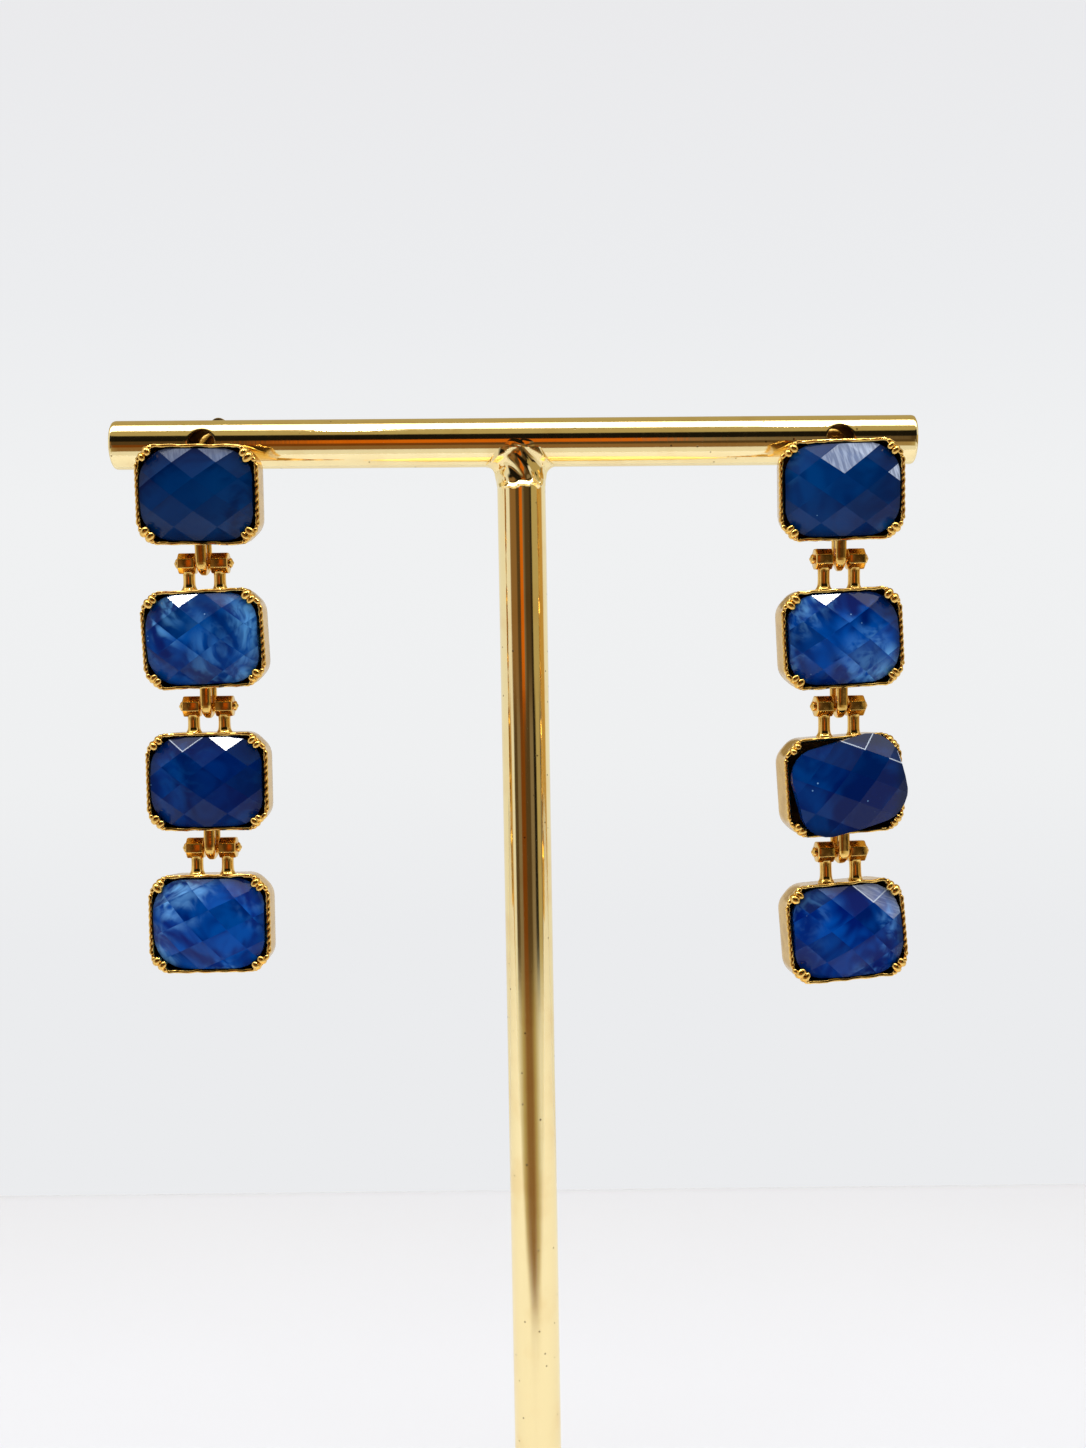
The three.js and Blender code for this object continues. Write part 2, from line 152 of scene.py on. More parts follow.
def sewn(surfaces):
    # one closed surface: equal points become one, and quads with a repeated point become triangles
    points, faces, depth = joined(surfaces)
    _, first, shared = np.unique(
        np.round(points, 5) + 0.0, axis=0, return_index=True, return_inverse=True)
    return points[first], shared.reshape(-1)[faces], depth[first]


def fullTurn(count):
    return np.linspace(0, 2 * np.pi, count, endpoint=False)


def circle(angle):
    # points of the unit circle
    return np.stack([np.cos(angle), np.sin(angle)], -1)


def turned(profile, sides):
    # profile of (radius, height) turned round Z
    radius, height = np.asarray(profile, float).T
    flat = radius[:, None, None] * circle(fullTurn(sides))
    return np.dstack([flat, np.broadcast_to(height[:, None], flat.shape[:2])])


def rounded(points, steps):
    # a smooth line through the points: Catmull-Rom, with steps between each two
    points = np.asarray(points, float)
    ends = np.vstack([2 * points[0] - points[1], points, 2 * points[-1] - points[-2]])
    t = np.linspace(0, 1, steps, endpoint=False)[:, None, None]
    a, b, c, d = ends[:-3], ends[1:-2], ends[2:-1], ends[3:]
    line = 0.5 * (2 * b + (c - a) * t + (2 * a - 5 * b + 4 * c - d) * t**2 + (3 * b - a - 3 * c + d) * t**3)
    return np.vstack([line.transpose(1, 0, 2).reshape(-1, points.shape[1]), points[-1]])


def capped(grid, first, last):
    # a row that is a single point before and after the grid
    first, last = (np.broadcast_to(point, grid[:1].shape) for point in (first, last))
    return np.concatenate([first, grid, last])


def swept(path, section, side):
    # section offsets (across, out) carried along the path: across is the side vector and out stands
    # square on it and on the path. Both ends close on the path.
    section = np.broadcast_to(section, (len(path),) + section.shape[-2:])
    ahead = np.gradient(path, axis=0)
    ahead /= np.linalg.norm(ahead, axis=1)[:, None]
    across = side - (ahead @ side)[:, None] * ahead
    across /= np.linalg.norm(across, axis=1)[:, None]
    out = np.cross(ahead, across)
    grid = path[:, None] + section[..., :1] * across[:, None] + section[..., 1:] * out[:, None]
    return capped(grid, path[0], path[-1])


def roundedBox(width, height, radius, perCorner):
    # outline of a rectangle with rounded corners
    corner = np.array([[1, -1], [1, 1], [-1, 1], [-1, -1]]) * [width / 2 - radius, height / 2 - radius]
    angle = np.radians(np.linspace(-90, 0, perCorner)[None] + 90 * np.arange(4)[:, None])
    return (corner[:, None] + radius * circle(angle)).reshape(-1, 2)


def ripple(seed, *along):
    # a smooth unevenness of about -1 to 1: five sine waves of unlike lengths, added up
    random = np.random.default_rng(seed)
    total = 0
    for strength in (1, 0.8, 0.6, 0.5, 0.4):
        phase = random.uniform(0, 2 * np.pi)
        for place in along:
            phase = phase + place * random.uniform(0.8, 2.6) / strength
        total = total + strength * np.sin(phase)
    return total / 2


def addMesh(name, surfaces, material, crease=38):
    # all surfaces in one mesh, faces outwards, smooth up to the crease angle
    points, quads, depth = joined(surfaces)
    mesh = bpy.data.meshes.new(name)
    faces = [tuple(dict.fromkeys(face)) for face in quads.tolist()]
    mesh.from_pydata((points * 0.001).tolist(), [], [face for face in faces if len(face) > 2])
    # each point's painted shade, which the gold finishes read
    recess = mesh.attributes.new("recess", "FLOAT", "POINT")
    recess.data.foreach_set("value", depth.astype(np.float32))
    work = bmesh.new()
    work.from_mesh(mesh)
    bmesh.ops.delete(work, geom=[v for v in work.verts if not v.link_faces], context="VERTS")
    bmesh.ops.recalc_face_normals(work, faces=work.faces)
    work.to_mesh(mesh)
    work.free()
    mesh.shade_smooth()
    mesh.set_sharp_from_angle(angle=radians(crease))
    mesh.materials.append(material)
    thing = bpy.data.objects.new(name, mesh)
    scene.collection.objects.link(thing)
    return thing


def addPiece(name, surfaces, material, node, crease=38):
    thing = addMesh(name, surfaces, material, crease)
    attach(thing, frame["nodes"][node]["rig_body"])
    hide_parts(node)
    return thing


class Value:
    # one socket of a node tree, with arithmetic that adds Math nodes
    def __init__(self, tree, socket):
        self.tree, self.socket = tree, socket

    def __add__(self, other):
        return self.tree.maths("ADD", self, other)

    def __sub__(self, other):
        return self.tree.maths("SUBTRACT", self, other)

    def __rsub__(self, other):
        return self.tree.maths("SUBTRACT", other, self)

    def __mul__(self, other):
        return self.tree.maths("MULTIPLY", self, other)

    def __truediv__(self, other):
        return self.tree.maths("DIVIDE", self, other)

    def __pow__(self, other):
        return self.tree.maths("POWER", self, other)

    def largest(self, other):
        return self.tree.maths("MAXIMUM", self, other)

    def within(self, low, high):
        # 0 below low, 1 above high, smooth between
        return self.tree.add(
            "ShaderNodeMapRange", {"interpolation_type": "SMOOTHSTEP"}, {0: self, 1: low, 2: high})


class NodeTree:
    def __init__(self, owner):
        owner.use_nodes = True
        self.nodes, self.links = owner.node_tree.nodes, owner.node_tree.links
        self.nodes.clear()

    def add(self, kind, settings=None, inputs=None, output=0):
        # a node of that type: its settings first, then the values or links of its sockets
        node = self.nodes.new(kind)
        for key, value in (settings or {}).items():
            if key == "stops":
                ramp = node.color_ramp
                while len(ramp.elements) < len(value):
                    ramp.elements.new(0.5)
                for element, (position, colour) in zip(ramp.elements, value):
                    element.position = position
                    element.color = (*colour, 1)
            else:
                setattr(node, key, value)
        for key, value in (inputs or {}).items():
            socket = node.inputs[key]
            if isinstance(value, Value):
                self.links.new(value.socket, socket)
            elif socket.type == "RGBA" and len(value) == 3:
                socket.default_value = (*value, 1)
            else:
                socket.default_value = value
        return Value(self, node.outputs[output]) if node.outputs else node

    def maths(self, operation, *values):
        return self.add("ShaderNodeMath", {"operation": operation}, dict(enumerate(values)))

    def vector(self, operation, first, second):
        return self.add("ShaderNodeVectorMath", {"operation": operation}, {0: first, 1: second})

    def mix(self, share, first, second):
        return self.add("ShaderNodeMix", {"data_type": "RGBA"}, {0: share, 6: first, 7: second}, 2)

    def parts(self, vector):
        split = self.add("ShaderNodeSeparateXYZ", {}, {0: vector})
        return [Value(self, socket) for socket in split.socket.node.outputs]

    def inMillimetres(self, centre=(0, 0, 0)):
        # object coordinates in millimetres from that centre
        place = self.add("ShaderNodeTexCoord", output="Object")
        moved = self.vector("SUBTRACT", place, tuple(0.001 * value for value in centre))
        return self.vector("MULTIPLY", moved, (1000, 1000, 1000))

    def attribute(self, name, output="Fac"):
        return self.add("ShaderNodeAttribute", {"attribute_name": name}, output=output)

    def noise(self, place, scale, detail, distortion=0):
        return self.add("ShaderNodeTexNoise", {},
                        {"Vector": place, "Scale": scale, "Detail": detail, "Distortion": distortion})

    def specks(self, place, scale, low, high):
        # 1 in small spots, 0 outside them
        apart = self.add("ShaderNodeTexVoronoi", {}, {"Vector": place, "Scale": scale, "Randomness": 1.0})
        return 1 - apart.within(low, high)

    def bump(self, height, strength, distance):
        return self.add("ShaderNodeBump", {}, {"Height": height, "Strength": strength, "Distance": distance})

    def ramp(self, share, span, bands):
        # colours by degrees, across a span that is centred on 0
        stops = [((degrees + span / 2) / span, colour) for degrees, colour in bands]
        return self.add("ShaderNodeValToRGB", {"stops": stops}, {0: share})


def screenColour(red, green, blue):
    # a colour as a screen shows it, 0 to 255, made linear
    value = np.array([red, green, blue]) / 255
    return tuple(np.where(value <= 0.04045, value / 12.92, ((value + 0.055) / 1.055) ** 2.4).tolist())


def newMaterial(name):
    material = bpy.data.materials.new(name)
    return material, NodeTree(material)


def finishShader(tree, sockets):
    shader = tree.add("ShaderNodeBsdfPrincipled", {}, sockets)
    tree.add("ShaderNodeOutputMaterial", {}, {"Surface": shader})


def finishMetal(tree, colour, roughness, height, strength, distance):
    finishShader(tree, {
        "Base Color": colour,
        "Metallic": 1.0,
        "Roughness": roughness,
        "Normal": tree.bump(height, strength, distance),
    })


gold = {
    "earring": (0.92, 0.60, 0.17),
    "earringDeep": (0.56, 0.31, 0.06),
    # painted shade colour for hollows, the cups' sides and insides
    "recess": (0.10, 0.05, 0.012),
    # painted shade colour inside the stand's tube
    "bore": (0.45, 0.23, 0.07),
    "stand": (1.0, 0.83, 0.44),
    "standWorn": (0.9, 0.66, 0.3),
    "speck": (0.12, 0.06, 0.02),
    "nut": (0.98, 0.78, 0.42),
    "base": (0.93, 0.75, 0.39),
    "baseGroove": (0.84, 0.64, 0.30),
}


def earringGold():
    material, tree = newMaterial("polished cast gold plate")
    place = tree.inMillimetres()
    broad = tree.noise(place, 0.7, 2)
    fine = tree.noise(place, 5, 4)
    recess = tree.attribute("recess")
    colour = tree.mix(broad.within(0.3, 0.75) * 0.5, gold["earring"], gold["earringDeep"])
    # painted shade in hollows and on the cup's side walls, which also makes the gold rougher there
    colour = tree.mix(recess, colour, gold["recess"])
    roughness = fine.within(0.3, 0.75) * 0.1 + recess * 0.3 + 0.07
    finishMetal(tree, colour, roughness, broad * 0.45 + fine * 0.1, 0.5, 0.0001)
    return material


def standGold():
    # rougher towards the foot
    material, tree = newMaterial("polished pale gold tube")
    place = tree.inMillimetres()
    low = 1 - tree.parts(place)[2].within(20, 125)
    drawn = tree.noise(tree.vector("MULTIPLY", place, (2.2, 2.2, 0.05)), 1.0, 4)
    blotch = tree.noise(place, 0.22, 3)
    speck = tree.specks(place, 0.55, 0.055, 0.085)
    recess = tree.attribute("recess")
    colour = tree.mix(blotch.within(0.45, 0.75) * 0.5, gold["stand"], gold["standWorn"])
    colour = tree.mix(speck * 0.75, colour, gold["speck"])
    # painted shade inside the tube and on the lips of its holes, which also roughens it
    colour = tree.mix(recess * 0.8, colour, gold["bore"])
    roughness = low * 0.12 + drawn.within(0.3, 0.8) * 0.05 + recess * 0.3 + 0.06
    finishMetal(tree, colour, roughness, drawn * 0.3 + blotch * 0.3 - speck * 0.3, 0.25, 0.00005)
    return material


def nutGold():
    material, tree = newMaterial("pressed gold sheet")
    rolled = tree.noise(tree.vector("MULTIPLY", tree.inMillimetres(), (1, 1, 9)), 1.2, 4)
    colour = tree.mix(rolled.within(0.35, 0.7) * 0.5, gold["nut"], gold["earringDeep"])
    # painted shade on the nut round the post's hole
    colour = tree.mix(tree.attribute("recess") * 0.9, colour, gold["recess"])
    finishMetal(tree, colour, rolled * 0.15 + 0.14, rolled, 0.2, 0.00004)
    return material


def spunGold():
    material, tree = newMaterial("spun satin gold")
    x, y, _ = tree.parts(tree.inMillimetres())
    grooves = tree.noise(tree.add("ShaderNodeCombineXYZ", {}, {0: (x * x + y * y) ** 0.5 * 2.5}), 1, 3)
    colour = tree.mix(grooves.within(0.3, 0.7), gold["base"], gold["baseGroove"])
    finishMetal(tree, colour, grooves * 0.12 + 0.34, grooves, 0.3, 0.00004)
    return material


finishes = {"earring": earringGold(), "stand": standGold(), "nut": nutGold(), "base": spunGold()}
print("gold finishes made")

base = {"diameter": 80, "thickness": 4, "bevel": 0.8, "socket": 3.15, "socketDepth": 2.5}


def standBase():
    # a disc with rounded edges and a blind socket, turned round Z
    outer, top, bevel = base["diameter"] / 2, base["thickness"], base["bevel"]
    quarter = np.radians(np.linspace(0, 90, 7))
    low = np.stack([outer - bevel + bevel * np.sin(quarter), bevel - bevel * np.cos(quarter)], -1)
    high = np.stack([outer - bevel + bevel * np.cos(quarter), top - bevel + bevel * np.sin(quarter)], -1)
    socket, floor = base["socket"], top - base["socketDepth"]
    profile = np.vstack([
        [(0, 0), (outer * 0.6, 0)], low, high,
        [(outer * 0.5, top), (socket + 0.3, top), (socket, top - 0.2), (socket, floor), (0, floor)],
    ])
    return [sewn([surface(turned(profile, 128))])]


addPiece("standBase", standBase(), finishes["base"], "stand_base")

bar = {
    "height": 165,
    "length": 99,
    "shift": -1,
    "tilt": 0.6,
    "radius": 3,
    "wall": 0.5,
    "plug": 1.5,
    "hole": 1.65,  # radius of the post holes
    "holeFromEnd": 10.5,
    "window": 2.6,  # half the length of the patch round a hole
    "windowAngle": 50,
}
holeAcross = bar["length"] / 2 - bar["holeFromEnd"]


def onBar(across):
    tilt = radians(bar["tilt"])
    return np.array([across * np.cos(tilt), 0, bar["height"] - across * np.sin(tilt)])


def onTube(along, angle, radius):
    # along the tube's axis X, and angle up from the front, in degrees
    along, angle, radius = np.broadcast_arrays(along, np.radians(angle), radius)
    return np.stack([along, -radius * np.cos(angle), radius * np.sin(angle)], -1)


def tubeStations():
    # places along the tube, with lines at the edges of each patch round a hole
    half, window = bar["length"] / 2, bar["window"]
    stations = [-half + 0.5]
    for hole in (-holeAcross - bar["shift"], holeAcross - bar["shift"]):
        gap = np.linspace(stations[-1], hole - window, max(8, int((hole - stations[-1]) / 0.9)))
        stations = np.concatenate([stations[:-1], gap, np.linspace(hole - window, hole + window, 13)[1:]])
    return np.concatenate([stations[:-1], np.linspace(stations[-1], half - 0.5, 12)])


def windowRing(stations, hole, centre):
    # the edge of the patch round one hole, in order, as along and angle
    window = bar["window"]
    across = stations[np.abs(stations - hole) < window + 0.01]
    up = centre + np.arange(-bar["windowAngle"], bar["windowAngle"] + 1, 5.0)
    ends, sides = len(up) - 1, len(across) - 1
    return (
        np.concatenate([across[:-1], np.full(ends, across[-1]), across[:0:-1], np.full(ends, across[0])]),
        np.concatenate([np.full(sides, up[0]), up[:-1], np.full(sides, up[-1]), up[:0:-1]]),
    )


def patch(hole, centre, edge, spin, radius, wide):
    # from the window's edge in to the hole's edge, both as along and angle
    along, angle = edge
    inner = hole + wide * np.cos(spin)
    innerAngle = centre + np.degrees(np.arcsin(wide * np.sin(spin) / radius))
    share = np.linspace(0, 1, 7)[:, None] ** 0.8
    return onTube(along + (inner - along) * share, angle + (innerAngle - angle) * share, radius)


def tubeSkin(stations, radius, holes, recess):
    # the tube's wall as a grid that leaves out the windows
    angle = np.arange(-180, 180, 5.0)
    points = onTube(stations[:, None], angle[None], radius)
    faces = gridFaces(len(stations), len(angle))
    middleAlong = ((stations[:-1] + stations[1:]) / 2)[:, None]
    middleAngle = (angle + 2.5)[None]
    keep = np.ones((len(stations) - 1, len(angle)), bool)
    for hole, centre in holes:
        apart = np.abs((middleAngle - centre + 180) % 360 - 180)
        keep &= ~((np.abs(middleAlong - hole) < bar["window"]) & (apart < bar["windowAngle"]))
    return points.reshape(-1, 3), faces[keep.reshape(-1)], np.full(points.size // 3, recess)


def standBar():
    # a closed tube with two cross-drilled holes, their edges rolled in
    half, radius, wide = bar["length"] / 2, bar["radius"], bar["hole"]
    inner = radius - bar["wall"]
    stations = tubeStations()
    holes = [(side * holeAcross - bar["shift"], centre) for side in (-1, 1) for centre in (0.0, 180.0)]
    # the inner wall carries full painted shade
    skins = [tubeSkin(stations, radius, holes, 0.0), tubeSkin(stations, inner, holes, 1.0)]
    for hole, centre in holes:
        edge = windowRing(stations, hole, centre)
        spin = np.arctan2(radius * np.sin(np.radians(edge[1] - centre)), edge[0] - hole)
        outside = patch(hole, centre, edge, spin, radius, wide + 0.1)
        within = patch(hole, centre, edge, spin, inner, wide)
        lip = [outside[-1]]
        for reach, wall in ((wide + 0.03, radius - 0.03), (wide, radius - 0.1)):
            angle = centre + np.degrees(np.arcsin(reach * np.sin(spin) / wall))
            lip.append(onTube(hole + reach * np.cos(spin), angle, wall))
        lip.append(within[-1])
        # painted shade grows on each lip as it rolls in to the bore
        skins += [surface(outside), surface(within, 1.0), surface(np.stack(lip), [0, 0, 0.15, 0.7])]
    # the closed ends, as how far short of the bar's end and the radius there
    cap = [(0.5, radius), (0.32, radius - 0.02), (0.12, radius - 0.1), (0.02, radius - 0.26),
           (0, radius - 0.42), (0.03, radius - 0.56), (0.12, radius - 0.64), (0.14, radius - 0.9),
           (0.12, 1.0), (0.12, 0)]
    plug = [(0.5, inner), (bar["plug"], inner), (bar["plug"], 1.0), (bar["plug"], 0)]
    angle = np.arange(-180, 180, 5.0)
    # the plug inside the tube carries full painted shade
    for sign in (-1, 1):
        for rows, recess in ((cap, 0.0), (plug, 1.0)):
            grid = np.stack([onTube(sign * (half - short), angle, size) for short, size in rows])
            skins.append(surface(grid, recess))
    return placed([sewn(skins)], (turning(0, 0, -bar["tilt"]), onBar(bar["shift"])))


pole = {
    "radius": 3,
    "foot": 1.65,
    "top": 165.6,
    "fillet": 1.3,  # radius of the solder in the corner between pole and bar
    "lumps": 0.11,
    "bead": 159.62,  # height of the solder's lower edge
    "beadWander": 0.28,
    "beadAbove": 0.52,  # how far the bead slopes above its edge, and below it
    "beadBelow": 0.14,
    "beadProud": 0.5,
    "merge": 162.4,  # from here up a film of solder covers the front of the bar
    "flush": 164.2,  # from here up nothing stands further out than the film
}


def standPole():
    # radius at a height and an angle: the tube, plus a solder fillet that grows towards the crossbar,
    # plus a ragged bead at the solder's lower edge
    heights = np.concatenate([
        np.linspace(pole["foot"], 150, 34), np.linspace(151, 157, 7), np.linspace(157.2, pole["top"], 104),
    ])[:, None]
    angle = fullTurn(96)[None]
    x, y, aboveBar = np.cos(angle), np.sin(angle), heights - bar["height"]
    radius = pole["radius"]
    toBar = np.sqrt((radius * y) ** 2 + aboveBar**2) - bar["radius"]
    fillet = pole["fillet"] * (0.25 + 0.75 * x**2)
    near = fillet - np.clip(toBar, 0, fillet)
    solder = fillet - np.sqrt(np.maximum(fillet**2 - near**2, 0))
    lumps = ripple(4, x * 3, y * 3, heights) * np.clip((heights - 159.6) / 1.2, 0, 1)
    overEdge = heights - (pole["bead"] + pole["beadWander"] * ripple(9, x * 3.4, y * 3.4))
    thick = 0.9 + 0.12 * ripple(2, x * 4, y * 4)
    slope = np.where(overEdge > 0, 1 - overEdge / pole["beadAbove"], 1 + overEdge / pole["beadBelow"])
    front = np.clip(-0.9 - 2.6 * y, 0.1, 1)
    bead = pole["beadProud"] * thick * front * np.clip(slope, 0, 1)
    skirt = 0.07 * np.clip(overEdge / 0.4, 0, 1)
    size = radius + solder + bead + skirt + pole["lumps"] * lumps
    # above the solder its thin film follows the bar's own front, and runs out a little above its middle
    toFront = np.sqrt(np.maximum(radius**2 - aboveBar**2, 0)) / np.maximum(np.abs(y), 0.45)
    sideways = np.clip((np.abs(radius * x) - 1.1) / 0.8, 0, 1)
    upwards = np.clip(aboveBar + 0.5, 0, 1)
    cover = (1 - sideways) * (1 - upwards) * (y < 0) * (heights > pole["merge"])
    film = toFront - 0.05 + (0.13 + 0.03 * ripple(6, x * 5, heights * 2)) * cover
    size = np.where(cover > 0.02, np.maximum(size, film), size)
    size = np.where(heights > pole["flush"], np.minimum(size, film), size)
    grid = np.stack([size * x, size * y, np.broadcast_to(heights, size.shape)], -1)
    return sewn([surface(capped(grid, [0, 0, pole["foot"]], [0, 0, pole["top"]]))])


addPiece("standFrame", standBar() + [standPole()], finishes["stand"], "stand_frame")
print("stand made")

setting = {
    "width": 14.5,
    "height": 11.9,
    "depth": 4.4,
    "cut": 2.0,
    "wall": 0.4,
    "back": 0.8,
    "frontRounding": 0.5,
    "backRounding": 2.4,
    "rimWobble": 0.07,
    "rope": 0.3,  # radius of the twisted border
    "ropePitch": 0.85,
    "claw": 0.47,
    "clawSpacing": 0.8,
    "post": 0.75,
    "postSpacing": 3.75,
    "postFoot": 0.3,
    "barrel": 2.5,  # across the flats
    "barrelLength": 2.1,
    "barrelSpace": 1.9,
    "ringWidth": 1.4,
    "ringThickness": 1.0,
    "ringBore": 1.7,
    "pinForward": 0.3,
    "pinBelow": 8.25,
    "earPost": 0.45,
    "earPostLength": 10.5,
    "earPostAbove": 5.3,
}


def cutCorners(inset):
    # the eight corners of a rectangle with its corners cut off, moved in by each inset
    width, height = setting["width"] / 2 - inset, setting["height"] / 2 - inset
    cut = setting["cut"] - inset * (2 - sqrt(2))
    x = np.stack([width - cut, width, width, width - cut, cut - width, -width, -width, cut - width], -1)
    z = np.stack(
        [-height, cut - height, height - cut, height, height, height - cut, cut - height, -height], -1)
    return np.stack([x, z], -1)


def cutCornerRing(inset, rounding):
    # each row is the outline at an inset: arcs of the rounding radius at the eight corners, and
    # straight edges between them
    perArc, perEdge = 5, 20
    centre = cutCorners(inset + rounding)[:, :, None]
    angle = np.radians(-90 + 45 * np.arange(8)[:, None] + np.linspace(0, 45, perArc)[None])
    arc = centre + rounding[:, None, None, None] * circle(angle)
    start, end = arc[:, :, -1:], np.roll(arc[:, :, :1], -1, axis=1)
    share = np.linspace(0, 1, perEdge + 2)[1:-1, None]
    edge = start + (end - start) * share
    return np.concatenate([arc, edge], 2).reshape(len(inset), -1, 2)


def cup(seed):
    # outline at each inset, rounding and depth of the profile, from the middle of the back round the
    # rim to the middle of the inner floor. The rim of the long sides wanders a little.
    front, back = -setting["depth"] / 2, setting["depth"] / 2
    wall, floor = setting["wall"], back - setting["back"]
    soft, sharp = setting["backRounding"], setting["frontRounding"]
    rows = np.array([  # scale, inset, y, rounding, wobble, painted shade on the side walls and inside
        (0.0, 1.0, back, soft, 0, 0), (0.5, 1.0, back, soft, 0, 0), (1, 0.9, back, soft, 0, 0),
        (1, 0.5, back - 0.02, soft, 0, 0), (1, 0.22, back - 0.1, soft, 0, 0),
        (1, 0.06, back - 0.28, soft, 0, 0), (1, 0.0, back - 0.55, soft, 0, 0.2),
        (1, 0.0, 0.9, 1.9, 0, 0.25), (1, 0.0, 0.1, 1.3, 0, 0.25), (1, 0.0, -0.7, 0.8, 0.1, 0.25),
        (1, 0.02, -1.4, sharp, 0.3, 0.2), (1, 0.0, front + 0.35, sharp, 0.8, 0),
        (1, -0.03, front + 0.2, sharp, 1, 0), (1, 0.0, front + 0.06, sharp, 1, 0),
        (1, 0.1, front - 0.02, sharp, 1, 0), (1, 0.22, front - 0.02, sharp, 1, 0),
        (1, 0.34, front + 0.05, sharp, 1, 0.1), (1, wall, front + 0.2, sharp, 0.8, 0.7),
        (1, wall, front + 0.7, sharp, 0, 1), (1, wall, floor - 0.1, sharp, 0, 1),
        (1, wall + 0.1, floor, sharp, 0, 1), (0.5, 1.0, floor, sharp, 0, 1), (0.0, 1.0, floor, sharp, 0, 1),
    ])
    scale, inset, depth, rounding, wobble, recess = rows.T
    outline = cutCornerRing(inset, rounding) * scale[:, None, None]
    x, z = outline[..., 0], outline[..., 1]
    level = (np.abs(z[13]) > setting["height"] / 2 - 0.4)[None]  # only the long sides
    uneven = setting["rimWobble"] * wobble[:, None] * level
    y = depth[:, None] - uneven * (ripple(seed, x * 1.3) + 0.4)
    z = z * (1 + uneven * 0.12 * ripple(seed + 50, x * 1.1))
    y = y + 0.03 * wobble[:, None] * ripple(seed + 90, x * 2, z * 2)
    return sewn([surface(np.stack([x, y, z], -1), recess)])


def rope(start, end, radius, twisted=0.32):
    # a tube whose radius swells twice a turn along a spiral, like two twisted wires, closed at its ends
    step = np.subtract(end, start)
    length = np.linalg.norm(step)
    share = np.linspace(0, 1, int(length / 0.07))[:, None]
    angle = fullTurn(14)[None]
    uneven = 0.5 * ripple(int(start[0] * 7 + start[2] * 3) % 90, share * length * 0.9)
    twist = np.abs(np.cos(angle + uneven - np.pi * share * length / setting["ropePitch"]))
    ends = np.minimum(1, np.minimum(share, 1 - share) * length / 0.3) ** 0.5
    size = radius * (1.06 - twisted * (1 - twist**0.8) + 0.06 * uneven) * ends
    section = size[..., None] * circle(angle)
    return sewn([surface(swept(np.asarray(start) + step * share, section, np.array([0, 1.0, 0])))])


def claw(sideX, sideZ, along, reach, thickness):
    # a tapered finger that rises from the wall and curls in over the corner
    inward = np.array([-sideX, 0, -sideZ]) / sqrt(2)
    across = np.array([sideX, 0, -sideZ]) / sqrt(2)
    corner = np.array([
        sideX * (setting["width"] - setting["cut"]) / 2, 0, sideZ * (setting["height"] - setting["cut"]) / 2,
    ])
    front = -setting["depth"] / 2
    line = rounded([  # inward, y, radius
        (0.2, front + 0.9, 0.16), (0.06, front + 0.35, 0.27), (0.08, front - 0.1, 0.34),
        (0.28, front - 0.34, 0.36), (0.28 + 0.3 * reach, front - 0.38, 0.33),
        (0.28 + 0.55 * reach, front - 0.27, 0.24), (0.28 + 0.65 * reach, front - 0.2, 0.08),
    ], 4)
    path = corner + across * along + line[:, :1] * inward + line[:, 1:2] * np.array([0, 1, 0])
    size = line[:, 2:] * setting["claw"] / 0.36 * thickness
    return sewn([surface(swept(path, size[..., None] * circle(fullTurn(12)), across))])


def octagonBarrel(side, height):
    # a rounded octagon carried along X, its ends drawn in a little
    flat, half, soft = setting["barrel"] / 2, setting["barrelLength"] / 2, 0.2
    corner = np.radians(45 * np.arange(8) + 22.5)[:, None]
    angle = corner + np.radians(np.linspace(-22.5, 22.5, 4))
    end = np.array([  # along, inset, share of the width
        (half, 0, 0), (half, 0, 0.25), (half, 0.14, 1), (half - 0.05, 0.05, 1), (half - 0.16, 0, 1),
    ])
    along, inset, share = np.vstack([end * [-1, 1, 1], end[::-1]]).T[..., None, None, None]
    centre = np.maximum((flat - inset) * share - soft, 0) / np.cos(np.pi / 8)
    outline = centre * circle(corner) + soft * share * circle(angle)
    grid = np.concatenate([np.broadcast_to(along, outline[..., :1].shape), outline], -1)
    middle = [side * (setting["barrelSpace"] + setting["barrelLength"]) / 2, -setting["pinForward"], height]
    paintedBarrelShade = [0, 0, 0, 0.05, 0.2, 0.2, 0.05, 0, 0, 0]  # painted shade, darker between its two ends
    return sewn([surface(grid.reshape(len(paintedBarrelShade), -1, 3) + middle, paintedBarrelShade)])


def hingePost(side, height):
    # a round post that flares at its foot and a little under its barrel
    low, high = setting["height"] / 2 - 0.2, height - setting["barrel"] / 2 + 0.2
    z = np.concatenate([
        np.linspace(low, low + 1.2, 14), np.linspace(low + 1.3, high - 0.6, 4),
        np.linspace(high - 0.5, high, 7),
    ])
    flare = setting["postFoot"] * np.exp(-np.maximum(z - low - 0.2, 0) / 0.28)
    radius = setting["post"] - 0.03 + flare + 0.1 * np.exp(-(high - z) / 0.22)
    profile = np.vstack([[(0, low)], np.stack([radius, z], -1), [(0, high)]])
    place = [side * setting["postSpacing"] / 2, -setting["pinForward"], 0]
    return sewn([surface(turned(profile, 28) + place)])


